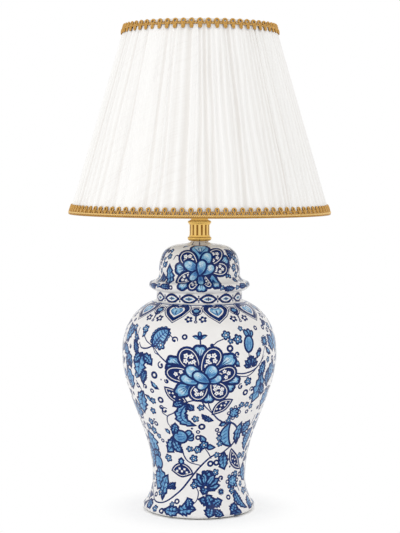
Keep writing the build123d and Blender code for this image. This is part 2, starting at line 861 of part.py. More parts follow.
# The glass seats on the cap's rim and is hollow.
equator_z = bulb_glass_z + bulb_equator_rise
glass_top_z = bulb_glass_z + bulb_glass_height
glass_foot_radius = bulb_cap_radius - bulb_cap_wall / 2
with BuildPart() as bulb_globe:
    with BuildSketch(Plane.XZ):
        with BuildLine():
            Line((0, bulb_glass_z), (glass_foot_radius, bulb_glass_z))
            Bezier(
                (glass_foot_radius, bulb_glass_z),
                (glass_foot_radius, bulb_glass_z + bulb_equator_rise * 0.45),
                (bulb_radius, equator_z - bulb_equator_rise * 0.5),
                (bulb_radius, equator_z),
            )
            Bezier(
                (bulb_radius, equator_z),
                (bulb_radius, equator_z + bulb_radius * 0.55),
                (bulb_radius * 0.55, glass_top_z),
                (0, glass_top_z),
            )
            Line((0, glass_top_z), (0, bulb_glass_z))
        make_face()
    revolve(axis=Axis.Z)
    offset(amount=-bulb_glass_wall, mode=Mode.SUBTRACT)
bulb_globe.part.label = "bulb_globe"
export_step(bulb_globe.part, "parts/bulb_globe.step")

bulb_stem_z = bulb_glass_z + bulb_glass_wall
with BuildPart() as bulb_stem:
    with BuildSketch(Plane.XY.offset(bulb_stem_z)):
        Circle(bulb_stem_radius)
    with BuildSketch(Plane.XY.offset(bulb_stem_z + bulb_stem_height)):
        Circle(bulb_stem_radius / 2)
    loft()
bulb_stem.part.label = "bulb_stem"
export_step(bulb_stem.part, "parts/bulb_stem.step")

# Two leads rise from the stem and hold the filament's arch between them.
filament_z = bulb_stem_z + bulb_stem_height + filament_radius
with BuildPart() as bulb_filament:
    with BuildLine(Plane.XZ) as filament_path:
        FilletPolyline(
            (-filament_half_span * 0.2, filament_z),
            (-filament_half_span, filament_z + filament_rise * 0.6),
            (-filament_half_span * 0.5, filament_z + filament_rise),
            (filament_half_span * 0.5, filament_z + filament_rise),
            (filament_half_span, filament_z + filament_rise * 0.6),
            (filament_half_span * 0.2, filament_z),
            radius=2.5,
        )
    with BuildSketch(Plane(origin=filament_path.line @ 0, z_dir=filament_path.line % 0)):
        Circle(filament_radius)
    sweep(path=filament_path.line)
bulb_filament.part.label = "bulb_filament"
export_step(bulb_filament.part, "parts/bulb_filament.step")

# ---------------------------------------------------------------- shade

pleat_pitch = 360 / pleat_count

# Each pleat is an arch of cloth between two valleys, drawn at the bottom and at the top.
with BuildPart() as shade_cover:
    for level in (shade_bottom_z, shade_top_z):
        crest_radius = shade_radius(level, 0)
        valley_radius = shade_radius(level, pleat_depth)
        with BuildSketch(Plane.XY.offset(level)):
            with BuildLine():
                for pleat in range(pleat_count):
                    angle = pleat * pleat_pitch
                    ThreePointArc(
                        pleat_point(angle, valley_radius),
                        pleat_point(angle + pleat_pitch / 2, crest_radius),
                        pleat_point(angle + pleat_pitch, valley_radius),
                    )
            make_face()
    loft(ruled=True)
    with BuildSketch(Plane.XZ):
        Polygon(
            (0, shade_bottom_z),
            (shade_radius(shade_bottom_z, cover_inset), shade_bottom_z),
            (shade_radius(shade_top_z, cover_inset), shade_top_z),
            (0, shade_top_z),
            align=None,
        )
    revolve(axis=Axis.Z, mode=Mode.SUBTRACT)
shade_cover.part.label = "shade_cover"
export_step(shade_cover.part, "parts/shade_cover.step")

# The lining stops under the spider's arms, which pass over its edge to the top ring.
lining_bottom_z = shade_bottom_z + frame_edge_inset
top_ring_wire_z = shade_top_z - frame_edge_inset - frame_wire_radius
lining_top_z = top_ring_wire_z - spider_arm_radius - layer_gap
with BuildPart() as shade_lining:
    with BuildSketch(Plane.XZ):
        Polygon(
            (shade_radius(lining_bottom_z, lining_inset), lining_bottom_z),
            (shade_radius(lining_top_z, lining_inset), lining_top_z),
            (shade_radius(lining_top_z, lining_inset + lining_thickness), lining_top_z),
            (shade_radius(lining_bottom_z, lining_inset + lining_thickness), lining_bottom_z),
            align=None,
        )
    revolve(axis=Axis.Z)
shade_lining.part.label = "shade_lining"
export_step(shade_lining.part, "parts/shade_lining.step")

bottom_ring_z = lining_bottom_z + frame_wire_radius
for name, z in (("shade_bottom_ring", bottom_ring_z), ("shade_top_ring", top_ring_wire_z)):
    with BuildPart() as frame_ring:
        with BuildSketch(Plane.XZ):
            with Locations((shade_radius(z, wire_inset), z)):
                Circle(frame_wire_radius)
        revolve(axis=Axis.Z)
    frame_ring.part.label = name
    export_step(frame_ring.part, f"parts/{name}.step")

# The ribs lie between the lining and the pleats, butted against both rings.
rib_bottom_z = bottom_ring_z + frame_wire_radius + layer_gap
rib_top_z = top_ring_wire_z - frame_wire_radius - layer_gap
rib_foot = Vector(shade_radius(rib_bottom_z, wire_inset), 0, rib_bottom_z)
rib_head = Vector(shade_radius(rib_top_z, wire_inset), 0, rib_top_z)
with BuildPart() as shade_ribs:
    with BuildSketch(Plane(origin=rib_foot, z_dir=rib_head - rib_foot)):
        Circle(rib_radius)
    extrude(amount=(rib_head - rib_foot).length)
    first_rib = shade_ribs.part
    for rib in range(1, rib_count):
        add(first_rib.rotate(Axis.Z, rib * 360 / rib_count))
shade_ribs.part = shade_ribs.part.rotate(Axis.Z, rib_turn)
shade_ribs.part.label = "shade_ribs"
export_step(shade_ribs.part, "parts/shade_ribs.step")

# The spider drops from the top ring to a hub that sits on the harp's stud. Its arms run
# along the hub's lower face, so that they stay clear of the finial above it.
arm_end_radius = shade_radius(top_ring_wire_z, wire_inset) - frame_wire_radius - layer_gap
arm_rise_radius = arm_end_radius - spider_arm_step
spider_bore_radius = stud_radius + spider_bore_clearance
with BuildPart() as shade_spider:
    with BuildSketch(Plane.XY.offset(spider_z)):
        Circle(spider_hub_radius)
        Circle(spider_bore_radius, mode=Mode.SUBTRACT)
    extrude(amount=spider_hub_thickness)
    for arm in range(spider_arm_count):
        turn = spider_arm_turn + arm * 360 / spider_arm_count
        arm_plane = Plane(origin=(0, 0, 0), x_dir=Vector(1, 0, 0).rotate(Axis.Z, turn),
                          z_dir=Vector(0, -1, 0).rotate(Axis.Z, turn))
        with BuildLine(arm_plane) as arm_path:
            FilletPolyline(
                (spider_hub_radius - spider_arm_radius, spider_z),
                (arm_rise_radius, spider_z),
                (arm_rise_radius, top_ring_wire_z),
                (arm_end_radius, top_ring_wire_z),
                radius=spider_arm_bend,
            )
        with BuildSketch(Plane(origin=arm_path.line @ 0, z_dir=arm_path.line % 0)):
            Circle(spider_arm_radius)
        sweep(path=arm_path.line)
shade_spider.part.label = "shade_spider"
export_step(shade_spider.part, "parts/shade_spider.step")

# Gimp braid, one band round each edge of the cloth
band_outset = layer_gap / 2
for name, low in (
    ("bottom_braid", shade_bottom_z - braid_overhang),
    ("top_braid", shade_top_z + braid_overhang - braid_width),
):
    high = low + braid_width
    with BuildPart() as braid:
        with BuildSketch(Plane.XZ):
            Polygon(
                (shade_radius(low, -band_outset), low),
                (shade_radius(low, -band_outset - braid_thickness), low),
                (shade_radius(high, -band_outset - braid_thickness), high),
                (shade_radius(high, -band_outset), high),
                align=None,
            )
        revolve(axis=Axis.Z)
    braid.part.label = name
    export_step(braid.part, f"parts/{name}.step")

# ---------------------------------------------------------------- finial

finial_bore_radius = stud_radius + finial_thread_clearance
finial_bore_depth = plate_top_z + stud_height + moving_gap - finial_z
finial_top_z = finial_z + finial_height
ball_z = finial_top_z - finial_ball_radius
with BuildPart() as finial:
    with BuildSketch(Plane.XY.offset(finial_z)):
        Circle(finial_base_radius)
    extrude(amount=finial_base_height)
    chamfer(finial.edges().group_by(Axis.Z)[-1], finial_base_height / 4)
    with BuildSketch(Plane.XY.offset(finial_z + finial_base_height)):
        Circle(finial_neck_radius)
    extrude(amount=ball_z - finial_z - finial_base_height)
    with Locations((0, 0, ball_z)):
        Sphere(finial_ball_radius)
    with BuildSketch(Plane.XY.offset(finial_z)):
        Circle(finial_bore_radius)
    extrude(amount=finial_bore_depth, mode=Mode.SUBTRACT)
finial.part.label = "finial"
export_step(finial.part, "parts/finial.step")
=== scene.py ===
"""Looks of a blue and white ginger jar table lamp.

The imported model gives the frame. This script paints the porcelain, pleats the shade, lays its
gold braid and finishes the brass, glass and fittings. Each surface is worked out with numpy, in
millimetres, and is put into its mesh in metres.
"""

import json
import logging
import math
from dataclasses import dataclass, field, replace
from enum import Enum
from typing import Callable, Sequence, Union

import bpy
import numpy as np
from mathutils import Matrix, Vector
from mathutils.geometry import delaunay_2d_cdt


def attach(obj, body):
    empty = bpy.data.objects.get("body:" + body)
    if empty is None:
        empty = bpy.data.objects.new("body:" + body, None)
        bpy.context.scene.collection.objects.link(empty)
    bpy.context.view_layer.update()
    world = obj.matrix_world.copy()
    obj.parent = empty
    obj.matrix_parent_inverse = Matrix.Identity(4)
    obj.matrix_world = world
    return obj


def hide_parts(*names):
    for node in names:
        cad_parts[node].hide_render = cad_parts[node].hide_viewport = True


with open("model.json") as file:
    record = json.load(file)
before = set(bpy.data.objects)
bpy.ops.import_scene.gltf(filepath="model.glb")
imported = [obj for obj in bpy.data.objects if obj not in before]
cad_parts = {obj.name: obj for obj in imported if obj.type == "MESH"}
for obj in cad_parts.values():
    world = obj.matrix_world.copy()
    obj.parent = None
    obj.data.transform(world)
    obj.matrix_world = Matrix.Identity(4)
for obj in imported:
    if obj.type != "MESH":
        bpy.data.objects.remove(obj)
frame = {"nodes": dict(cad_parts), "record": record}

log = logging.getLogger("ginger_jar_lamp")
MM = 0.001
# A grown outline's corner moves out by the distance over its miter, which is at least this.
LEAST_MITER = 0.6
# How far along a brush line its middle width is reached.
BRUSH_BELLY = 0.45
# Rows of the porcelain that are closer than the first keep their edges, and a wider gap is
# cut into spans of about the second, both in millimetres.
TIGHT_ROWS = 3.0
LONGEST_ROW = 12.0
# Points that agree to this many digits of a millimetre are one point.
WELD_DIGITS = 3
Array = np.ndarray
Point = tuple[float, float]
Material = bpy.types.Material
Piece = bpy.types.Object


# ---- shader maths


def tint(red: int, green: int, blue: int) -> tuple[float, float, float, float]:
    """A colour as it looks on a screen, from 0 to 255, as the linear one that a shader takes."""
    screen = np.array([red, green, blue]) / 255
    linear = np.where(screen <= 0.04045, screen / 12.92, ((screen + 0.055) / 1.055) ** 2.4)
    return (*linear.tolist(), 1.0)


def dimmed(colour: tuple, share: float) -> tuple:
    """A colour times a share."""
    return tuple(share * part for part in colour[:3]) + (1.0,)


def operator(operation: str, reflected: bool = False) -> Callable:
    """A method that adds the node of an operation, its sides changed over if reflected."""

    def work(wire: "Wire", other: "Value") -> "Wire":
        """The operation's result."""
        return wire.graph.combine(operation, *((other, wire) if reflected else (wire, other)))

    return work


class Wire:
    """An output of a node that can be used in an expression, which adds the nodes it needs."""

    __add__, __radd__ = operator("ADD"), operator("ADD", True)
    __sub__, __rsub__ = operator("SUBTRACT"), operator("SUBTRACT", True)
    __mul__, __rmul__ = operator("MULTIPLY"), operator("MULTIPLY", True)

    def __init__(self, graph: "Graph", socket: bpy.types.NodeSocket) -> None:
        """Holds the socket and the graph that new nodes go into."""
        self.graph = graph
        self.socket = socket

    @property
    def is_vector(self) -> bool:
        """True for a colour or a vector, which ordinary maths would turn grey."""
        return self.socket.type in ("RGBA", "VECTOR")


Value = Union[Wire, float, Sequence[float]]


class Graph:
    """A material's or a world's node tree."""

    def __init__(self, name: str, world: bool = False) -> None:
        """Starts an empty material of that name, or an empty world."""
        self.kind = "World" if world else "Material"
        self.owner = (bpy.data.worlds if world else bpy.data.materials).new(name)
        self.owner.use_nodes = True
        self.tree = self.owner.node_tree
        self.tree.nodes.clear()

    def node(self, kind: str, settings: dict | None = None,
             sockets: dict | None = None, output: int | str = 0) -> Wire:
        """Adds one node.

        Args:
            kind: The node's type, without its ShaderNode prefix.
            settings: The node's own settings, set before its sockets. A ramp's are its stops,
                each a place and a colour.
            sockets: Values or wires for its inputs, by name or number.
            output: The output to return.

        Returns:
            The wire from that output.
        """
        made = self.tree.nodes.new("ShaderNode" + kind)
        for name, value in (settings or {}).items():
            if name == "stops":
                ramp = made.color_ramp.elements
                while len(ramp) < len(value):
                    ramp.new(0.5)
                for stop, (place, colour) in zip(ramp, value):
                    stop.position, stop.color = place, colour
            else:
                setattr(made, name, value)
        for name, value in (sockets or {}).items():
            socket = made.inputs[name]
            if isinstance(value, Wire):
                self.tree.links.new(value.socket, socket)
            else:
                socket.default_value = value
        return Wire(self, made.outputs[output])

    def maths(self, operation: str, *values: Value) -> Wire:
        """One Math node on values."""
        return self.node("Math", {"operation": operation}, dict(enumerate(values)))

    def combine(self, operation: str, *sides: Value) -> Wire:
        """Adds a Math node, or a Vector Math node where a side is a colour or a vector."""
        if any(side.is_vector for side in sides if isinstance(side, Wire)):
            pair = {i: (side,) * 3 if isinstance(side, (int, float)) else side
                    for i, side in enumerate(sides)}
            return self.node("VectorMath", {"operation": operation}, pair)
        return self.maths(operation, *sides)

    def beside(self, wire: Wire, output: str) -> Wire:
        """Another output of a wire's node."""
        return Wire(self, wire.socket.node.outputs[output])

    def split(self, vector: Wire) -> tuple[Wire, Wire]:
        """A vector's first two numbers."""
        first = self.node("SeparateXYZ", sockets={0: vector}, output="X")
        return first, self.beside(first, "Y")

    def ramp(self, amount: Wire, *stops: tuple) -> Wire:
        """The colour that stops, each a place and a colour, give to an amount."""
        return self.node("ValToRGB", {"stops": stops}, {"Fac": amount})

    def blend(self, factor: Value, first: Value, second: Value) -> Wire:
        """The first colour where factor is 0, the second where it is 1."""
        return self.node("Mix", {"data_type": "RGBA"}, {0: factor, 6: first, 7: second}, 2)

    def place(self) -> Wire:
        """A point's place on its object, in metres."""
        return self.node("TexCoord", output="Object")

    def noise(self, scale: float, detail: float = 2.0, stretch: Point | None = None,
              where: Wire | None = None) -> Wire:
        """Soft noise from 0 to 1.

        Args:
            scale: How many lumps there are to a metre, or to a unit of where.
            detail: How many finer layers it has.
            stretch: Factors for the first two directions of where.
            where: The coordinates that it follows, or the object's own.

        Returns:
            The wire of its value.
        """
        spot = where or self.place()
        if stretch:
            spot = spot * (*stretch, 1.0)
        return self.node("TexNoise", sockets={"Vector": spot, "Scale": scale, "Detail": detail})

    def range(self, value: Wire, low: float, high: float, start: float = 0.0, end: float = 1.0) -> Wire:
        """Moves value's range from low and high to start and end, and holds it there."""
        return self.node("MapRange", {"interpolation_type": "SMOOTHSTEP"},
                         {"Value": value, "From Min": low, "From Max": high,
                          "To Min": start, "To Max": end})

    def bump(self, height: Wire, depth_mm: float, strength: float) -> Wire:
        """A normal from a height of 0 to 1 that stands for depth_mm millimetres."""
        return self.node("Bump", sockets={"Height": height, "Distance": depth_mm * MM,
                                          "Strength": strength})

    def end(self, shader: Wire) -> Material:
        """Leads a shader to the tree's output, and returns the material or the world."""
        output = self.tree.nodes.new("ShaderNodeOutput" + self.kind)
        self.tree.links.new(shader.socket, output.inputs["Surface"])
        return self.owner

    def finish(self, **sockets: Value) -> Material:
        """Ends the tree in one Principled shader with these inputs."""
        named = {name.replace("_", " "): value for name, value in sockets.items()}
        return self.end(self.node("BsdfPrincipled", sockets=named, output="BSDF"))


# ---- finishes


@dataclass(frozen=True)
class Glaze:
    """White porcelain glaze over cobalt painting, read from each face corner's cobalt value."""

    name: str = "glazed_porcelain"
    attribute: str = "cobalt"
    white: tuple = tint(242, 240, 238)
    wash: tuple = tint(158, 202, 228)
    light: tuple = tint(110, 168, 210)
    middle: tuple = tint(52, 104, 166)
    deep: tuple = tint(12, 60, 128)
    line: tuple = tint(2, 32, 92)

    def make(self) -> Material:
        """The cobalt pools and thins in a fine stipple, and the glaze has a faint ripple."""
        graph = Graph(self.name)
        cobalt = graph.node("Attribute", {"attribute_name": self.attribute}, output="Fac")
        stipple = graph.noise(900, 3)
        cloud = graph.noise(170, 2)
        spread = (stipple - 0.5) * 0.36 + (cloud - 0.5) * 0.46
        painted = graph.range(cobalt, 0.02, 0.3)
        amount = cobalt + spread * painted
        colour = graph.ramp(amount, (0.0, self.white), (0.16, self.white), (0.3, self.wash),
                            (0.42, self.light), (0.62, self.middle), (0.84, self.deep), (1.0, self.line))
        ripple = graph.noise(60, 1)
        return graph.finish(Base_Color=colour, Roughness=0.15, Specular_IOR_Level=0.2,
                            Normal=graph.bump(ripple, 0.12, 0.35))


@dataclass(frozen=True)
class Metal:
    """A metal with faint brushing and a few dull patches."""

    name: str
    colour: tuple
    roughness: float = 0.2
    wear: float = 0.08
    grain: Point = (1.0, 1.0)
    grain_depth: float = 0.003

    def make(self) -> Material:
        """Roughness and colour drift slowly over the piece, with fine grain in its relief."""
        graph = Graph(self.name)
        drift = graph.noise(45, 3)
        fine = graph.noise(900, 2, self.grain)
        colour = graph.blend(graph.range(drift, 0.5, 0.85, 0.0, 0.3), self.colour,
                             dimmed(self.colour, 0.72))
        rough = self.roughness + (drift - 0.5) * self.wear + (fine - 0.5) * self.wear
        return graph.finish(Base_Color=colour, Metallic=1.0, Roughness=rough,
                            Normal=graph.bump(fine, self.grain_depth, 0.5))


@dataclass(frozen=True)
class FlutedBrass:
    """Polished brass whose barrel flutes are darkened: tarnish, and painted shade that stands in for the
    dark reflections in the flutes.
    """

    name: str = "fluted_brass"
    colour: tuple = tint(236, 198, 120)
    tarnish_and_flute_shade: tuple = tint(142, 98, 42)
    flutes: int = 14

    def make(self) -> Material:
        """The darkening, tarnish and painted shade together, follows cos(flutes · angle) round the axis,
        broken up by a slow drift.
        """
        graph = Graph(self.name)
        angle = graph.maths("ARCTAN2", *graph.split(graph.place()))
        wave = graph.maths("COSINE", angle * float(self.flutes))
        drift = graph.noise(60, 2)
        # Darker in the flutes: tarnish, and painted shade standing in for the flutes' dark reflections.
        dull = graph.range(wave * 0.4 + drift * 0.6, 0.0, 0.4, 1.0, 0.0)
        colour = graph.blend(dull, self.colour, self.tarnish_and_flute_shade)
        return graph.finish(Base_Color=colour, Metallic=1.0, Roughness=dull * 0.12 + 0.15,
                            Normal=graph.bump(graph.noise(700, 2), 0.0015, 0.4))


@dataclass(frozen=True)
class Solid:
    """A plastic, rubber, board or paint with a little mottling and surface texture."""

    name: str
    colour: tuple
    roughness: float = 0.5
    mottle: float = 0.15
    texture_scale: float = 700
    texture_depth: float = 0.03

    def make(self) -> Material:
        """A coat of the colour with darker specks, and a fine relief."""
        graph = Graph(self.name)
        specks = graph.noise(self.texture_scale, 3)
        dark = dimmed(self.colour, 1 - self.mottle * 2)
        colour = graph.blend(graph.range(specks, 0.4, 0.75), self.colour, dark)
        rough = self.roughness + (specks - 0.5) * 0.12
        return graph.finish(Base_Color=colour, Roughness=rough,
                            Normal=graph.bump(specks, self.texture_depth, 0.6))


@dataclass(frozen=True)
class Felt:
    """Pressed wool felt."""

    name: str = "felt"
    colour: tuple = tint(44, 60, 48)

    def make(self) -> Material:
        """Two sizes of fibre, one over the other."""
        graph = Graph(self.name)
        fibre = graph.noise(1400, 4) * 0.6 + graph.noise(350, 2) * 0.4
        pale = dimmed(self.colour, 2.2)
        colour = graph.blend(graph.range(fibre, 0.4, 0.7), self.colour, pale)
        return graph.finish(Base_Color=colour, Roughness=0.95, Sheen_Weight=0.3,
                            Normal=graph.bump(fibre, 0.25, 0.8))


@dataclass(frozen=True)
class Cloth:
    """A thin woven cloth, whose threads follow the piece's own map, in metres along it."""

    name: str
    colour: tuple
    # The colour that the slubs and the shade painted into the folds darken the cloth towards.
    shade: tuple
    threads_per_mm: float = 2.4
    sheen: float = 0.12

    def make(self) -> Material:
        """Crossed waves of thread in the relief, slubs in the colour, and shade painted into the hollows of
        the folds.
        """
        graph = Graph(self.name)
        where = graph.node("UVMap", {"uv_map": "weave"})
        pitch = self.threads_per_mm / MM * math.tau
        warp, weft = (graph.maths("SINE", side * pitch) for side in graph.split(where))
        threads = warp * weft * 0.5 + 0.5
        slub = graph.noise(260, 2, (1.0, 0.02), where)
        # A per-point attribute carries shade painted into the folds, which darkens the cloth along with its
        # slubs.
        hollow = graph.node("Attribute", {"attribute_name": "hollow"}, output="Fac")
        slubs_and_painted_shade = graph.range(slub, 0.42, 0.75, 0.0, 0.22) + hollow
        colour = graph.blend(graph.range(slubs_and_painted_shade, 0.0, 1.0), self.colour, self.shade)
        return graph.finish(Base_Color=colour, Roughness=0.9, Sheen_Weight=self.sheen,
                            Normal=graph.bump(threads * 0.1 + slub * 0.9, 0.03, 0.2))


@dataclass(frozen=True)
class GoldThread:
    """Metallic gimp thread, wrapped round its cord."""

    name: str = "gold_braid"
    pale: tuple = tint(240, 205, 135)
    gold: tuple = tint(198, 148, 66)
    dark: tuple = tint(110, 70, 18)
    wraps_per_metre: float = 1700.0

    def make(self) -> Material:
        """Stripes of wrapped thread run round the cord, with a highlight painted along its outer crest and
        shade painted down its sides.

        The whole part of the map's second number is how much paler than the rest a cord is.
        """
        graph = Graph(self.name)
        along, around = graph.split(graph.node("UVMap", {"uv_map": "weave"}))
        kind = graph.maths("FLOOR", around)
        wrap = graph.maths("SINE", (along * self.wraps_per_metre + around) * math.tau)
        # Painted light: a highlight on each cord's outward face and painted shade on its sides.
        painted_crest_highlight = graph.maths("SINE", around * math.tau)
        glint = graph.noise(1300, 2)
        tone = wrap * 0.12 + glint * 0.45 + painted_crest_highlight * 0.42 + kind * 0.3 + 0.04
        colour = graph.ramp(tone, (0.0, self.dark), (0.34, self.gold), (0.6, self.gold), (0.95, self.pale))
        return graph.finish(Base_Color=colour, Metallic=0.62, Roughness=0.34 + glint * 0.2,
                            Normal=graph.bump(wrap * 0.5 + 0.5, 0.12, 0.7))


@dataclass(frozen=True)
class Glass:
    """Bulb glass, clear or with a soft white coat inside."""

    name: str
    colour: tuple
    roughness: float
    clear: float

    def make(self) -> Material:
        """Glass that lets light through as clear says, with a faint unevenness."""
        graph = Graph(self.name)
        cloud = graph.range(graph.noise(60, 2), 0.3, 0.8)
        colour = graph.blend(cloud, self.colour, dimmed(self.colour, 0.93))
        return graph.finish(Base_Color=colour, Roughness=self.roughness, IOR=1.5,
                            Transmission_Weight=self.clear)


# ---- meshes


def unit(vectors: Array) -> Array:
    """Each vector over its length."""
    return vectors / np.maximum(np.linalg.norm(vectors, axis=-1, keepdims=True), 1e-12)


def turns_of(count: int) -> Array:
    """That many angles all round, in radians."""
    return np.arange(count) / count * math.tau


def stand(radius: Array, angle: Array, height: Array) -> Array:
    """Points (r sin a, -r cos a, z), at angles from the front."""
    return np.stack(np.broadcast_arrays(radius * np.sin(angle), -radius * np.cos(angle), height), -1)


def add_object(name: str, data: bpy.types.ID) -> Piece:
    """Makes an object of some data and puts it into the scene."""
    made = bpy.data.objects.new(name, data)
    bpy.context.scene.collection.objects.link(made)
    return made


def put_mesh(name: str, points: Array, faces: Sequence, material: Material,
             weave: Array | None = None) -> Piece:
    """Makes an object of points in millimetres.

    Args:
        name: The object's name.
        points: Its points, one row each.
        faces: The numbers of each face's points.
        material: Its material.
        weave: A map along the cloth or cord for each face corner, in metres.

    Returns:
        The object, smooth shaded.
    """
    mesh = bpy.data.meshes.new(name)
    mesh.from_pydata((points * MM).tolist(), [], faces.tolist() if isinstance(faces, Array) else faces)
    mesh.materials.append(material)
    mesh.shade_smooth()
    if weave is not None:
        mesh.uv_layers.new(name="weave").data.foreach_set("uv", weave.astype(np.float32).ravel())
    mesh.validate()
    made = add_object(name, mesh)
    return made


def grid_faces(rows: int, columns: int, around: bool = False, over: bool = False) -> tuple[Array, Array]:
    """Four-sided faces between the points of a grid, which may close on itself either way.

    The first direction runs up and the second to the right, so the faces look at the viewer.

    Args:
        rows: How many rows of points there are.
        columns: How many points a row has.
        around: Whether each row runs on into its own start.
        over: Whether the last row runs on into the first.

    Returns:
        The numbers of each face's points, and the row and column of each of its corners,
        counted on past the last one where the grid closes.
    """
    row, column = np.meshgrid(np.arange(rows if over else rows - 1),
                              np.arange(columns if around else columns - 1), indexing="ij")
    row, column = row.ravel(), column.ravel()
    corners = np.stack([np.stack([row + up, column + right], 1)
                        for up, right in ((0, 0), (0, 1), (1, 1), (1, 0))], 1)
    faces = corners[..., 0] % rows * columns + corners[..., 1] % columns
    return faces, corners


def tubes(paths: Array, outward: Array, radius: float, sides: int,
          closed: bool = True) -> tuple[Array, list, Array]:
    """Round cords along many paths at once.

    At each point the cord's ring is the path's point plus radius times (cos a · side +
    sin a · out), where side is the direction square to both the path and outward.

    Args:
        paths: Points, as (path, point, 3).
        outward: A direction for each point that its ring starts from, the same shape.
        radius: The cord's radius.
        sides: How many sides its ring has.
        closed: Whether each path runs back to its start. Open ends are closed with caps.

    Returns:
        The points, the faces and a map for each face corner, along and round the cord.
    """
    count, steps = paths.shape[:2]
    if closed:
        ahead, behind = np.roll(paths, -1, 1), np.roll(paths, 1, 1)
    else:
        ahead = np.concatenate([paths[:, 1:], 2 * paths[:, -1:] - paths[:, -2:-1]], 1)
        behind = np.concatenate([2 * paths[:, :1] - paths[:, 1:2], paths[:, :-1]], 1)
    along = unit(ahead - behind)
    side = unit(np.cross(along, outward))
    out = np.cross(side, along)
    angles = turns_of(sides)[:, None]
    ring = paths[:, :, None] + radius * (np.cos(angles) * side[:, :, None]
                                         + np.sin(angles) * out[:, :, None])
    # The grid's rows run along the path and its columns round the ring, against the clock as
    # seen from behind, so its faces are turned round.
    faces, corners = grid_faces(steps, sides, around=True, over=closed)
    faces, corners = faces[:, ::-1], corners[:, ::-1]
    start = np.arange(count) * steps * sides
    every = (faces[None] + start[:, None, None]).reshape(-1, 4)
    gaps = np.linalg.norm(ahead - paths, axis=2)
    length = np.concatenate([np.zeros((count, 1)), np.cumsum(gaps, 1)], 1)
    weave = np.stack([length[:, corners[..., 0]] * MM, np.broadcast_to(
        corners[..., 1] / sides, (count, *corners.shape[:2]))], -1).reshape(-1, 2)
    found = every.tolist()
    if not closed:
        first = start[:, None] + np.arange(sides)
        caps = np.concatenate([first, (first + (steps - 1) * sides)[:, ::-1]])
        found += caps.tolist()
        weave = np.concatenate([weave, np.zeros((caps.size, 2))])
    return ring.reshape(-1, 3), found, weave


def join(parts: Sequence[tuple]) -> tuple[Array, list, Array]:
    """Puts several results of tubes into one set of points, faces and maps."""
    faces, start = [], 0
    for points, part_faces, _ in parts:
        faces += [[start + i for i in face] for face in part_faces]
        start += len(points)
    return (np.concatenate([part[0] for part in parts]), faces, np.concatenate([part[2] for part in parts]))


# ---- flat outlines


def signed_area(outline: Array) -> float:
    """An outline's area, above 0 if it runs anticlockwise."""
    x, y = outline.T
    return float((x * np.roll(y, -1) - y * np.roll(x, -1)).sum() / 2)


def grow(outline: Array, distance: float) -> Array:
    """Moves an outline out by a distance, or in where it is below 0, square to itself."""
    edges = unit(np.roll(outline, -1, 0) - outline)
    normals = np.stack([edges[:, 1], -edges[:, 0]], 1) * np.sign(signed_area(outline) or 1)
    mean = unit(normals + np.roll(normals, 1, 0))
    miter = np.clip((mean * normals).sum(1, keepdims=True), LEAST_MITER, 1)
    return outline + mean * distance / miter


def smooth(points: Sequence[Point], per_span: int) -> Array:
    """A Catmull-Rom curve through points, each span a cubic with its neighbours' slopes."""
    knots = np.asarray(points, float)
    knots = np.concatenate([2 * knots[:1] - knots[1:2], knots, 2 * knots[-1:] - knots[-2:-1]])
    t = np.linspace(0, 1, per_span, endpoint=False)[None, :, None]
    a, b, c, d = (knots[i:len(knots) - 3 + i][:, None] for i in range(4))
    spans = 0.5 * (2 * b + (c - a) * t + (2 * a - 5 * b + 4 * c - d) * t ** 2
                   + (3 * b - a - 3 * c + d) * t ** 3)
    return np.concatenate([spans.reshape(-1, 2), knots[-2:-1]])


def stroke(path: Array, start: float, middle: float, end: float) -> Array:
    """A brush line round a path, whose width runs from start through middle to end."""
    tangent = unit(np.gradient(path, axis=0))
    normal = np.stack([-tangent[:, 1], tangent[:, 0]], 1)
    share = np.linspace(0, 1, len(path))
    width = np.interp(share, [0, BRUSH_BELLY, 1], [start, middle, end])[:, None] / 2
    return np.concatenate([path + normal * width, (path - normal * width)[::-1]])


def thinned(outline: Array, scale: Point, slack: float) -> Array:
    """The outline without the points that lie within slack of the line past them.

    A point's distance from the line through its neighbours is the triangle's double area over
    that line's length. Every second one of those points goes, in a few passes.
    """
    for _ in range(3):
        flat = outline * scale
        before, after = np.roll(flat, 1, 0), np.roll(flat, -1, 0)
        span = after - before
        off = flat - before
        area = np.abs(span[:, 0] * off[:, 1] - span[:, 1] * off[:, 0])
        spare = area < slack * np.maximum(np.linalg.norm(span, axis=1), 1e-9)
        # Neighbours never go together, so the outline keeps its course.
        number = np.arange(len(outline))
        spare &= (number % 2 == 0) & (number > 0)
        if len(outline) - spare.sum() < 5 or not spare.any():
            break
        outline = outline[~spare]
    return outline


def disc(radius: Array | float, count: int) -> Array:
    """A round outline, whose radius may differ from point to point."""
    angle = turns_of(count)
    return np.stack([radius * np.cos(angle), radius * np.sin(angle)], 1)


def petal(length: float, width: float, point: float, count: int = 24) -> Array:
    """A petal from a narrow foot at 0 to a round tip at length.

    Its half width is sin t · sin(t/2)^point, scaled to width, as its height goes from 0 to
    length as (1 - cos t) / 2.
    """
    t = turns_of(count)
    x = np.sin(t) * np.abs(np.sin(t / 2)) ** point
    return np.stack([x / x.max() * width / 2, (1 - np.cos(t)) / 2 * length], 1)


def spine(length: float, bend: float, shares: Sequence[float]) -> list[Point]:
    """Places on a leaf's arc, which at each share s is 4 · bend · length · s (1 - s) aside."""
    return [(4 * bend * length * s * (1 - s), s * length) for s in shares]


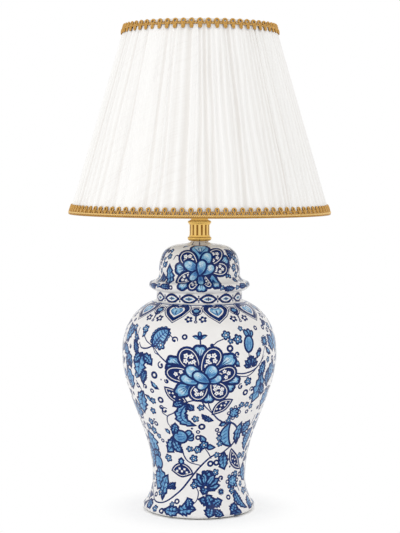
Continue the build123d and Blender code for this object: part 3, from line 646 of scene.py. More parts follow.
def blade(length: float, width: float, bend: float = 0.0, teeth: int = 0,
          depth: float = 0.2, count: int = 14, belly: float = 1.0) -> Array:
    """A leaf pointed at both ends, along an arc that leaves its chord by bend times length.

    Its half width is sin(π s^belly)^0.85, less a saw tooth of depth that leans to the tip.
    """
    steps = count if not teeth else teeth * 4 + 1
    s = np.linspace(0, 1, steps)
    half = np.sin(math.pi * s ** belly) ** 0.85 * width / 2
    if teeth:
        half = half * (1 - depth * ((s * teeth) % 1.0))
    middle = np.array(spine(length, bend, s))
    tangent = unit(np.gradient(middle, axis=0))
    normal = np.stack([tangent[:, 1], -tangent[:, 0]], 1)
    aside = normal * half[:, None]
    return np.concatenate([middle + aside, (middle - aside)[-2:0:-1]])


def scallop(radius: float, lobes: int, depth: float, per_lobe: int) -> Array:
    """A round outline with lobes: its radius is 1 - depth + depth · |sin(lobes · a / 2)|^0.6."""
    a = turns_of(lobes * per_lobe)
    return disc(radius * (1 - depth + depth * np.abs(np.sin(lobes * a / 2)) ** 0.6), len(a))


def inside(points: Array, outline: Array) -> Array:
    """True for each point that an outline winds round at least once."""
    x, y = points[:, :1], points[:, 1:]
    x0, y0 = outline.T
    x1, y1 = np.roll(outline, -1, 0).T
    left = (x1 - x0) * (y - y0) - (x - x0) * (y1 - y0)
    rising = ((y0 <= y) & (y1 > y) & (left > 0)).sum(1)
    falling = ((y0 > y) & (y1 <= y) & (left < 0)).sum(1)
    return rising != falling


# ---- painting


class Ink(Enum):
    """How much cobalt a brush leaves, from bare glaze to a full dark line."""

    BARE = 0.0
    WASH = 0.3
    LIGHT = 0.44
    MIDDLE = 0.62
    DEEP = 0.85
    LINE = 1.0


BARE, WASH, LIGHT, MIDDLE, DEEP, LINE = Ink


@dataclass
class Profile:
    """The closed outline of a turned piece, as runs of points (radius, height) in millimetres.

    A length along it, its run, names a ring of the piece.
    """

    runs: list[Array]
    corner: float = 0.94

    def __post_init__(self) -> None:
        """Joins the runs and measures along them."""
        self.points = np.concatenate([run[:-1] for run in self.runs] + [self.runs[-1][-1:]])
        gaps = np.linalg.norm(np.diff(self.points, axis=0), axis=1)
        self.lengths = np.concatenate([[0], np.cumsum(gaps)])
        self.total = float(self.lengths[-1])

    def at(self, run: Array) -> tuple[Array, Array]:
        """The radius and the height at each run."""
        radius, height = (np.interp(run, self.lengths, side) for side in self.points.T)
        return radius, height

    def run_of(self, height: float) -> float:
        """The first run on the outside that is at a height."""
        outside = slice(int(np.argmax(self.points[:, 1])) + 1)
        return float(np.interp(height, self.points[outside, 1], self.lengths[outside]))

    def normal(self, run: Array) -> Array:
        """The outward direction (radius, height) at each run, from the outline's slope."""
        spans = unit(np.diff(self.points, axis=0))
        middles = (self.lengths[1:] + self.lengths[:-1]) / 2
        last = len(spans) - 1
        number = np.clip(np.searchsorted(self.lengths, run, side="right") - 1, 0, last)
        here = middles[number]
        other = np.clip(np.where(run < here, number - 1, number + 1), 0, last)
        # Neighbouring spans are mixed where the outline is smooth and not at a corner.
        is_smooth = (spans[number] * spans[other]).sum(1) > self.corner
        gap = np.abs(middles[other] - here)
        share = np.where(is_smooth & (gap > 0), np.abs(run - here) / np.maximum(gap, 1e-9), 0)
        slope = spans[number] * (1 - share[:, None]) + spans[other] * share[:, None]
        return unit(np.stack([slope[:, 1], -slope[:, 0]], 1))


def line_run(*points: Point) -> Array:
    """A run of straight lines."""
    return np.asarray(points, float)


def curve_run(start: Point, pull: Point, push: Point, end: Point, count: int = 24) -> Array:
    """A cubic Bezier run."""
    t = np.linspace(0, 1, count)[:, None]
    a, b, c, d = (np.asarray(point, float) for point in (start, pull, push, end))
    return (1 - t) ** 3 * a + 3 * t * (1 - t) ** 2 * b + 3 * t ** 2 * (1 - t) * c + t ** 3 * d


@dataclass
class Canvas:
    """The surface of a turned piece laid out flat: turn in degrees one way, run the other.

    It starts at the seam, and a degree is as many millimetres wide as the field says.
    """

    profile: Profile
    seam: float = -90.0
    degree: float = 1.6
    lowest_run: float = 1.2
    slack: float = 0.15
    shapes: list = field(default_factory=list)

    def pen(self, turn: float, height: float) -> "Pen":
        """An upright pen at a turn and a height on the outside."""
        return Pen(self, turn, self.profile.run_of(height))

    def fill(self, outline: Array, turn: float, run: float, ink: Ink) -> None:
        """Fills an outline in millimetres round a place, bent to the surface.

        A point x to the right and y up goes to the run plus y, and to the turn plus x over the
        radius there.
        """
        runs = np.clip(run + outline[:, 1], self.lowest_run, None)
        turns = turn + np.degrees(outline[:, 0] / self.profile.at(runs)[0])
        self.lay(np.stack([turns, runs], 1), ink)

    def lay(self, places: Array, ink: Ink) -> None:
        """Fills an outline of turns and runs, and its copies a full turn away."""
        places = thinned(places, (self.degree, 1.0), self.slack)
        for shift in (-360.0, 0.0, 360.0):
            turns = places[:, 0] + shift
            if turns.max() > self.seam and turns.min() < self.seam + 360:
                shape = np.stack([turns * self.degree, places[:, 1]], 1)
                self.shapes.append((shape, ink.value))


class Pen:
    """A brush at one place on the porcelain, with the direction and scale of what it paints."""

    edge_weight = 2.45
    line_weight = 2.1

    def __init__(self, canvas: Canvas, turn: float, run: float, matrix: Array | None = None) -> None:
        """Holds the place, and the change from the motif's own plane to the surface."""
        self.canvas, self.turn, self.run = canvas, turn, run
        self.matrix = np.eye(3) if matrix is None else matrix
        self.size = math.sqrt(abs(np.linalg.det(self.matrix[:2, :2])))

    def at(self, x: float = 0.0, y: float = 0.0, angle: float = 0.0, flip: bool = False) -> "Pen":
        """The pen moved, turned anticlockwise by angle degrees, and mirrored."""
        c, s = math.cos(math.radians(angle)), math.sin(math.radians(angle))
        side = -1.0 if flip else 1.0
        step = np.array([[c * side, -s, x], [s * side, c, y], [0, 0, 1.0]])
        return Pen(self.canvas, self.turn, self.run, self.matrix @ step)

    def fill(self, outline: Array, ink: Ink = LINE) -> None:
        """Fills an outline of the motif's plane."""
        flat = outline @ self.matrix[:2, :2].T + self.matrix[:2, 2]
        self.canvas.fill(flat, self.turn, self.run, ink)

    def nest(self, outline: Array, *steps: tuple[float, Ink]) -> None:
        """Fills an outline once for each step, moved out by the step's distance."""
        for distance, ink in steps:
            self.fill(grow(outline, distance), ink)

    def edge(self, outline: Array, width: float = 1.2, ink: Ink = LIGHT) -> None:
        """Fills an outline, with a dark edge line half outside it, of a width on the surface."""
        half = self.edge_weight * width / 2 / self.size
        self.nest(outline, (half, LINE), (-half, ink))

    def line(self, points: Sequence[Point], widths: tuple[float, float, float],
             ink: Ink = DEEP, per_span: int = 4) -> None:
        """Draws a smooth brush line through points, with its widths on the surface."""
        wide = self.line_weight / self.size
        self.fill(stroke(smooth(points, per_span), *(width * wide for width in widths)), ink)

    def ringed(self, outer: float, inner: float, counts: tuple[int, int] = (8, 6), ink: Ink = BARE) -> None:
        """Fills a dark disc with a smaller one on it."""
        self.fill(disc(outer, counts[0]))
        self.fill(disc(inner, counts[1]), ink)


class Motif(Enum):
    """The kinds of leaf and flower that run from a foot to a tip."""

    DOTTED_PETAL = "petal"
    WASH_PETAL = "wash"
    FAN = "fan"
    DOTTED_LEAF = "dots"
    WASH_LEAF = "leaf"
    DARK_LEAF = "dark"
    HORN = "horn"
    SPRAY = "spray"
    BUD = "bud"
    POD = "pod"
    SPRIG = "sprig"


class Bloom(Enum):
    """The kinds of flower and mark that sit round a middle."""

    BLOSSOM = "blossom"
    RING = "ring"
    CURL = "curl"
    CURL_LEFT = "leftcurl"
    FLOWER = "flower"
    BERRIES = "berries"
    STAR = "star"
    TWIN = "twin"
    LEAF = "leaf"
    DOT = "dot"


def small_blossom(pen: Pen, radius: float) -> None:
    """Five round petals with a dark edge and pale hearts about a white eye."""
    radius = 1.36 * radius
    pen.fill(scallop(radius, 5, 0.3, 4))
    pen.fill(scallop(0.62 * radius, 5, 0.5, 4), LIGHT)
    pen.ringed(0.34 * radius, 0.18 * radius)


def white_blossom(pen: Pen, radius: float) -> None:
    """A reserved white blossom with a blue eye, for the inside of dotted petals."""
    pen.fill(scallop(radius, 5, 0.35, 3), BARE)
    pen.fill(disc(0.24 * radius, 5), MIDDLE)


def ring_mark(pen: Pen, radius: float) -> None:
    """A small ring with an open middle."""
    pen.ringed(1.3 * radius, 0.52 * radius, (12, 8))


def curl_mark(pen: Pen, radius: float, flip: bool = False) -> None:
    """A tendril that winds in on itself and ends in a knob."""
    side = pen.at(flip=flip)
    a = np.linspace(-0.4, 4.9, 22)
    r = radius * np.linspace(1.0, 0.3, 22)
    path = np.stack([r * np.cos(a), r * np.sin(a)], 1)
    wide = 1 / pen.size
    side.fill(stroke(path, 1.4 * wide, 2.4 * wide, 2.6 * wide))
    side.at(*path[-1]).fill(disc(2.0 * wide, 8))


def dotted_petal(pen: Pen, length: float, width: float) -> None:
    """A broad petal: dark rim, white reserve, dark ground and white blossoms."""
    pen.nest(petal(length, width, 0.75), (2.3, LINE), (-1.1, BARE), (-2.1, LINE))
    heart = 0.135 * min(length, width)
    for x, y in ((0, 0.74), (-0.2, 0.62), (0.2, 0.62), (-0.09, 0.46), (0.12, 0.43), (0.0, 0.3)):
        white_blossom(pen.at(x * width, y * length, 40 * x), heart * (0.75 + 0.5 * y))


def wash_petal(pen: Pen, length: float, width: float) -> None:
    """A pale petal with a dark edge, a paler tip and fine strokes from its foot."""
    pen.edge(petal(length, width, 0.6), 1.15)
    pen.at(0, length * 0.52).fill(petal(length * 0.4, width * 0.6, 0.1, 14), WASH)
    for share in (-0.26, -0.13, 0.0, 0.13, 0.26):
        pen.line([(0, 0.08 * length), (share * width * 0.7, 0.4 * length),
                  (share * width * 1.15, (0.72 - abs(share) * 0.5) * length)], (0.9, 0.6, 0.15), MIDDLE)


def fan_petal(pen: Pen, length: float, width: float) -> None:
    """A petal with a scalloped tip and a dark crown line, behind the others."""
    t = turns_of(36)
    wave = 1 + 0.07 * (np.abs(np.sin(3.5 * (t - math.pi))) ** 0.7 - 0.5) * (np.cos(t) < 0.3)
    shape = petal(length, width, 0.4, len(t)) * wave[:, None]
    pen.nest(shape, (2.2, LINE), (-1.3, LIGHT))
    pen.at(0, 0.42 * length).nest(petal(0.5 * length, 0.66 * width, 0.3, 14), (-0.8, WASH))
    for share in (-0.3, -0.1, 0.1, 0.3):
        pen.line([(0, 0.3 * length), (share * width * 0.8, 0.6 * length),
                  (share * width * 1.15, (0.85 - 0.4 * abs(share)) * length)], (0.8, 0.55, 0.15))


def dotted_leaf(pen: Pen, length: float, width: float, bend: float) -> None:
    """A pointed leaf: dark edge, white reserve, dark heart with a row of white dots."""
    pen.nest(blade(length, width, bend), (1.5, LINE), (-0.8, BARE), (-1.7, LINE))
    dots = spine(length, bend, [0.26 + 0.12 * number for number in range(5)])
    for number, (x, y) in enumerate(dots):
        x += (0.1 if number % 2 else -0.1) * width
        pen.at(x, y).fill(scallop(0.105 * width, 4, 0.3, 3), BARE)


def wash_leaf(pen: Pen, length: float, width: float, bend: float) -> None:
    """A jagged pale leaf with a dark edge, one half darker, a rib and side veins."""
    pen.edge(blade(length, width, bend, teeth=4, depth=0.46), 1.15)
    shares = (0.2, 0.4, 0.6)
    for s, (x, y) in zip(shares, spine(length, bend, shares)):
        for side, ink in ((-1, MIDDLE), (1, DEEP)):
            pen.line([(x, y), (x + side * 0.27 * width, (s + 0.13) * length)], (0.95, 0.6, 0.2), ink, 1)
    pen.line(spine(length, bend, (-0.04, 0.35, 0.65, 0.92)), (1.3, 0.85, 0.3), LINE)


def dark_leaf(pen: Pen, length: float, width: float, bend: float) -> None:
    """A small leaf in one dark stroke with a pale heart."""
    pen.nest(blade(length, width, bend, teeth=3, depth=0.4), (0.5, LINE))
    pen.at(0, 0.26 * length).fill(blade(length * 0.46, width * 0.42, bend, count=7), LIGHT)


def horn(pen: Pen, length: float, width: float, bend: float) -> None:
    """A curved leaf, jagged outside, with a bank of veins."""
    pen.edge(blade(length, width, bend, teeth=6, depth=0.42, belly=0.8))
    pen.line(spine(length, bend, (0.03, 0.25, 0.5, 0.75, 0.97)), (1.2, 0.8, 0.3))
    outer = -1 if bend < 0 else 1
    shares = (0.15, 0.27, 0.39, 0.51, 0.63)
    for s, (x, y) in zip(shares, spine(length, bend, shares)):
        level = (s + 0.02) * length
        pen.line([(x, y), (x + outer * 0.18 * width, level), (x + outer * 0.36 * width, level)],
                 (1.0, 0.7, 0.2), per_span=2)


def spray_leaf(pen: Pen, length: float, width: float, bend: float) -> None:
    """A crested leaf: round scallops stand in a row along each of its sides."""
    shares = [0.12 + 0.13 * number for number in range(7)]
    for s, (x, y) in zip(shares, spine(length, bend, shares)):
        reach = 0.5 * width * math.sin(math.pi * min(s, 0.97)) ** 0.6
        for side, size in ((-1, 1.0), (1, 0.75)):
            pen.at(x + side * reach, y).ringed(0.155 * width * size, 0.075 * width * size, (9, 6), LIGHT)
    pen.edge(blade(length, width * 0.92, bend))
    pen.line(spine(length, bend, (0.0, 0.3, 0.6, 0.95)), (1.3, 0.9, 0.4))
    shares = [0.18 + 0.12 * number for number in range(6)]
    for s, (x, y) in zip(shares, spine(length, bend, shares)):
        for side in (-1, 1):
            pen.line([(x, y), (x + side * 0.34 * width, (s + 0.06) * length)], (0.9, 0.7, 0.3), per_span=3)


def bud(pen: Pen, length: float, width: float) -> None:
    """An oval bud in its calyx under a crown of three jagged petals."""
    for angle in (-34, 0, 34):
        tip = pen.at(0, 0.62 * length, angle)
        tip.edge(petal(0.4 * length, 0.42 * width, 0.3, 14), 1.0)
        tip.line([(0, 0), (0, 0.28 * length)], (0.8, 0.6, 0.2), per_span=3)
    pen.edge(petal(0.72 * length, width, 0.1, 20))
    for share in (-0.22, 0.0, 0.22):
        pen.line([(share * width * 0.4, 0.1 * length), (share * width, 0.35 * length),
                  (share * width * 0.5, 0.6 * length)], (0.3, 0.75, 0.2), MIDDLE)
    for side in (-1, 1):
        pen.line([(0, -0.02 * length), (side * 0.35 * width, 0.12 * length),
                  (side * 0.5 * width, 0.34 * length)], (1.2, 1.6, 0.3), LINE)


def pod(pen: Pen, length: float, width: float, bend: float) -> None:
    """A pale half-moon pod, a white band beside it and a jagged leaf beyond the band."""
    pen.edge(blade(length, width * 0.9, -bend * 0.5), ink=BARE)
    wash_leaf(pen.at(0.55 * width, 0.02 * length, -16), length * 0.86, width * 0.8, -abs(bend) * 0.3)
    pen.edge(blade(length, width * 0.78, bend * 1.25))
    for s in (0.25, 0.4, 0.55, 0.7):
        x = 5.0 * bend * length * s * (1 - s)
        pen.line([(x - 0.2 * width, (s - 0.03) * length),
                  (x + 0.2 * width, (s + 0.05) * length)], (0.3, 0.8, 0.3), per_span=3)


def sprig(pen: Pen, length: float, width: float) -> None:
    """A short stem with a leaf to each side and one at its tip."""
    pen.line([(0, 0), (0.02 * length, 0.5 * length), (0, 0.8 * length)], (1.0, 1.0, 0.7), LINE, 6)
    pen.at(0, 0.6 * length).fill(petal(0.5 * length, 0.36 * width, 0.2, 12))
    pen.at(0, 0.72 * length).fill(petal(0.3 * length, 0.14 * width, 0.1, 8), LIGHT)
    for side in (-1, 1):
        leaf = pen.at(0, 0.36 * length, -60 * side)
        leaf.fill(blade(0.72 * length, 0.34 * length, -0.15 * side))
        leaf.at(0, 0.2 * length).fill(blade(0.36 * length, 0.13 * length, -0.1 * side, count=7), LIGHT)


def open_flower(pen: Pen, radius: float) -> None:
    """A cup flower from the side: pale petals in a fan before a crown of berries."""
    for angle in (-30, -10, 10, 30):
        pen.at(radius * 0.95 * math.sin(math.radians(-angle)),
               radius * 0.85 * math.cos(math.radians(angle))).ringed(
            0.24 * radius, 0.1 * radius, (8, 5), LIGHT)
    for angle, size in ((72, 0.95), (-72, 0.95), (46, 1.05), (-46, 1.05), (0, 1.1), (22, 1.0), (-22, 1.0)):
        leaf = pen.at(0, -0.5 * radius, angle)
        leaf.edge(blade(1.35 * radius * size, 0.62 * radius, teeth=3, depth=0.3, belly=1.3), 1.1)
        leaf.line([(0, 0.1 * radius), (0, 0.6 * radius), (0, 1.05 * radius * size)],
                  (1.0, 0.7, 0.2), per_span=3)
    pen.at(0, -0.5 * radius).ringed(0.2 * radius, 0.09 * radius, (9, 6))


def berry_head(pen: Pen, radius: float) -> None:
    """A round head of berries over a pale heart."""
    pen.edge(scallop(0.62 * radius, 6, 0.2, 5), 1.1)
    for number, (x, y) in enumerate(disc(0.74 * radius, 8)):
        pen.at(x, y).ringed(0.27 * radius, 0.12 * radius, (7, 5), LIGHT if number % 2 else BARE)
    for x, y in disc(0.3 * radius, 5):
        pen.at(x, y).fill(disc(0.11 * radius, 6), DEEP)


def star_leaf(pen: Pen, radius: float) -> None:
    """Three pointed leaves and a small flower at one joint."""
    for angle in (20, 140, 255):
        leaf = pen.at(0, 0, angle)
        leaf.edge(blade(radius, 0.5 * radius, 0.08, teeth=2, depth=0.3), 1.0)
        leaf.line([(0, 0), (0, 0.75 * radius)], (0.9, 0.7, 0.2), per_span=3)
    small_blossom(pen, 0.34 * radius)


def twin_leaves(pen: Pen, radius: float) -> None:
    """Two jagged leaves that spring from one joint, with a flower between their tips."""
    foot = pen.at(0, -0.85 * radius)
    foot.line([(0, 0), (0, 0.7 * radius), (0, 1.3 * radius)], (0.8, 0.8, 0.5), LINE, 6)
    for side in (1, -1):
        wash_leaf(foot.at(0, 0, 33 * side), 1.55 * radius, 0.72 * radius, 0.1 * side)
    small_blossom(foot.at(0, 1.5 * radius), 0.3 * radius)


def leaf_and_curl(pen: Pen, radius: float) -> None:
    """A jagged leaf beside a tendril that curls away from it."""
    wash_leaf(pen.at(-0.15 * radius, -0.95 * radius, 10), 1.8 * radius, 0.85 * radius, 0.12)
    curl_mark(pen.at(0.62 * radius, 0.1 * radius, 60), 0.34 * radius)


@dataclass(frozen=True)
class Growth:
    """A motif that runs from a foot to a tip, each a turn in degrees and a height."""

    motif: Motif
    foot: Point
    tip: Point
    width: float
    bend: float = 0.1

    straight = {Motif.DOTTED_PETAL: dotted_petal, Motif.WASH_PETAL: wash_petal,
                Motif.FAN: fan_petal, Motif.BUD: bud, Motif.SPRIG: sprig}
    bent = {Motif.DOTTED_LEAF: dotted_leaf, Motif.WASH_LEAF: wash_leaf,
            Motif.DARK_LEAF: dark_leaf, Motif.HORN: horn, Motif.SPRAY: spray_leaf, Motif.POD: pod}
    fullness = {Motif.WASH_LEAF: 1.55, Motif.DARK_LEAF: 1.3, Motif.HORN: 1.25, Motif.BUD: 1.2,
                Motif.SPRIG: 1.25, Motif.SPRAY: 1.12, Motif.POD: 1.15, Motif.DOTTED_LEAF: 1.1}

    def draw(self, canvas: Canvas, turned: float) -> None:
        """Draws the motif, turned by some degrees round the piece.

        The foot's own radius can be far from the middle's, so it is drawn from the middle.
        """
        profile = canvas.profile
        foot_run, tip_run = profile.run_of(self.foot[1]), profile.run_of(self.tip[1])
        middle = (foot_run + tip_run) / 2
        x = math.radians(self.tip[0] - self.foot[0]) * float(profile.at(middle)[0])
        y = tip_run - foot_run
        length, angle = math.hypot(x, y), math.degrees(math.atan2(-x, y))
        turn = (self.foot[0] + self.tip[0]) / 2 + turned
        width = self.width * self.fullness.get(self.motif, 1.0)
        pen = Pen(canvas, turn, middle).at(-x / 2, -y / 2, angle)
        if self.motif in self.straight:
            self.straight[self.motif](pen, length, width)
        else:
            self.bent[self.motif](pen, length, width, self.bend)


@dataclass(frozen=True)
class Mark:
    """A motif round a middle, at a turn in degrees and a height."""

    bloom: Bloom
    turn: float
    height: float
    radius: float
    angle: float = 0.0

    kinds = {Bloom.BLOSSOM: small_blossom, Bloom.RING: ring_mark, Bloom.CURL: curl_mark,
             Bloom.FLOWER: open_flower, Bloom.BERRIES: berry_head, Bloom.STAR: star_leaf,
             Bloom.TWIN: twin_leaves, Bloom.LEAF: leaf_and_curl}

    def draw(self, canvas: Canvas, turned: float) -> None:
        """Draws the motif, turned by some degrees round the piece."""
        pen = canvas.pen(self.turn + turned, self.height).at(angle=self.angle)
        if self.bloom is Bloom.CURL_LEFT:
            curl_mark(pen, self.radius, flip=True)
        elif self.bloom is Bloom.DOT:
            pen.fill(disc(self.radius, 8))
        else:
            self.kinds[self.bloom](pen, self.radius)


@dataclass(frozen=True)
class Stem:
    """A brush line through places, each a turn in degrees and a height."""

    width: float
    places: tuple

    weight = 1.75

    def draw(self, canvas: Canvas, turned: float) -> None:
        """Draws the line, turned by some degrees round the piece."""
        profile = canvas.profile
        places = np.array([(turn + turned, profile.run_of(height)) for turn, height in self.places])
        middle = places.mean(0)
        scale = (math.radians(1) * float(profile.at(middle[1])[0]), 1)
        wide = self.weight * self.width
        line = stroke(smooth((places - middle) * scale, 8), wide, wide * 1.15, wide * 0.7)
        canvas.lay(line / scale + middle, LINE)


def rows_of(lines: Sequence[str]) -> list[tuple]:
    """Rows of a name and numbers, with a semicolon between two rows of a line.

    A row without a name has the name of the row before it.
    """
    found, name = [], ""
    for row in ";".join(lines).split(";"):
        words = row.split()
        if words[0].isalpha():
            name = words.pop(0)
        found.append((name, *map(float, words)))
    return found


def growths(*lines: str) -> list[Growth]:
    """Growths from rows of a motif's name, its foot, its tip, its width and its bend."""
    return [Growth(Motif(name), (a, b), (c, d), *size) for name, a, b, c, d, *size in rows_of(lines)]


def marks(*lines: str) -> list[Mark]:
    """Marks from rows of a motif's name, its turn, height and radius, and its angle."""
    return [Mark(Bloom(name), *place) for name, *place in rows_of(lines)]


def stems(*lines: str) -> list[Stem]:
    """Stems from rows of a width and the turn and height of place after place."""
    return [Stem(width, tuple(zip(places[::2], places[1::2]))) for _, width, *places in rows_of(lines)]


class GapFiller:
    """Sets small flowers, leaves, rings and curls where the sides' glaze is still bare."""

    # The clear radius that each group of motifs needs, in millimetres.
    groups = (
        (10.4, marks("flower 0 0 8.8; twin 0 0 10.6; star 0 0 10.4; twin 0 0 10.2")),
        (7.4, marks("leaf 0 0 7.2; berries 0 0 5.6; leaf 0 0 7; leaf 0 0 6.6")),
        (5.4, marks("blossom 0 0 3.6; ring 0 0 3; leftcurl 0 0 3.2; curl 0 0 3.2")))
    overlap = 2.4

    def __init__(self, canvas: Canvas, low: float, high: float, seed: int, clear: float) -> None:
        """Marks every millimetre that is painted already between two runs.

        Args:
            canvas: What the motifs are drawn on.
            low: The lowest run to fill.
            high: The highest run to fill.
            seed: The number that fixes the choice of places.
            clear: How many degrees to each side of the front and the back stay as painted.
        """
        self.canvas, self.low = canvas, low
        self.rng = np.random.default_rng(seed)
        self.columns, self.rows = int(360 * canvas.degree), int(high - low)
        self.taken = np.zeros((self.rows, self.columns), bool)
        for outline, ink in canvas.shapes:
            if ink != BARE.value:
                self._take(outline - (canvas.seam * canvas.degree, low))
        turns = canvas.seam + (np.arange(self.columns) + 0.5) / canvas.degree
        self.taken[:, np.abs((turns + 90) % 180 - 90) < clear] = True

    def _take(self, outline: Array) -> None:
        """Marks what an outline covers, and the millimetres that its own points are in."""
        (first, bottom), (last, top) = outline.min(0).astype(int), outline.max(0).astype(int) + 2
        bottom, top = max(bottom, 0), min(top, self.rows)
        if top <= bottom or first >= self.columns or last <= 0:
            return
        first, last = max(first, 0), min(last, self.columns)
        across, up = np.meshgrid(np.arange(first, last), np.arange(bottom, top))
        spots = np.stack([across.ravel(), up.ravel()], 1) + 0.5
        self.taken[bottom:top, first:last] |= inside(spots, outline).reshape(across.shape)
        column, row = outline.astype(int).T
        within = (row >= 0) & (row < self.rows)
        self.taken[row[within], np.clip(column, 0, self.columns - 1)[within]] = True

    def _bare(self, reach: float) -> Array:
        """Where a disc of that radius has no paint in it, by a Fourier product of the two."""
        pad = int(reach) + 2
        paint = np.pad(self.taken.astype(float), ((pad, pad), (0, 0)), constant_values=1.0)
        up, across = (np.fft.fftfreq(size, 1 / size) for size in paint.shape)
        brush = (across ** 2 + up[:, None] ** 2 <= reach ** 2).astype(float)
        found = np.fft.irfft2(np.fft.rfft2(paint) * np.fft.rfft2(brush), paint.shape)
        return found[pad:pad + self.rows] < 0.5

    def fill(self) -> int:
        """Fills the gaps, the widest first.

        Returns:
            How many motifs were set.
        """
        canvas, count, half = self.canvas, 0, self.columns // 2
        across, up = np.meshgrid(np.arange(self.columns), np.arange(self.rows))
        for reach, motifs in self.groups:
            bare = self._bare(reach)
            while bare.any():
                spots = np.nonzero(bare.ravel())[0]
                row, column = divmod(int(spots[self.rng.integers(len(spots))]), self.columns)
                turn = canvas.seam + (column + 0.5) / canvas.degree
                radius, height = (float(size) for size in canvas.profile.at(self.low + row + 0.5))
                item = motifs[int(self.rng.integers(len(motifs)))]
                angle = float(self.rng.uniform(0, 360))
                replace(item, turn=turn, height=height, angle=angle).draw(canvas, 0.0)
                aside = (across - column + half) % self.columns - half
                # Millimetres across the canvas shrink with the piece's radius there.
                shrink = radius * math.radians(1) / canvas.degree
                gap = np.hypot(aside * shrink, up - row)
                bare &= gap > 2 * reach - self.overlap
                self.taken |= gap < reach - self.overlap
                count += 1
        return count


def flat_grid(canvas: Canvas, columns: int, rows: Array) -> tuple[Array, list]:
    """The canvas's own points on a grid, and the edges of its border and of its tight rows.

    Args:
        canvas: The canvas.
        columns: How many spans there are round the piece.
        rows: The runs of the rows.

    Returns:
        The points, and pairs of their numbers.
    """
    turns = (canvas.seam + np.arange(columns + 1) * 360 / columns) * canvas.degree
    across, up = np.meshgrid(turns, rows)
    points = np.stack([across.ravel(), up.ravel()], 1)
    width = columns + 1
    number = np.arange(len(points)).reshape(len(rows), width)
    gaps = np.diff(rows)
    near = np.minimum(np.append(gaps, gaps[-1]), np.insert(gaps, 0, gaps[0])) < TIGHT_ROWS
    near[[0, -1]] = True
    edges = np.concatenate([np.stack([number[row, :-1], number[row, 1:]], 1)
                            for row in np.nonzero(near)[0]])
    sides = np.concatenate([np.stack([number[:-1, side], number[1:, side]], 1) for side in (0, -1)])
    return points, np.concatenate([edges, sides]).tolist()


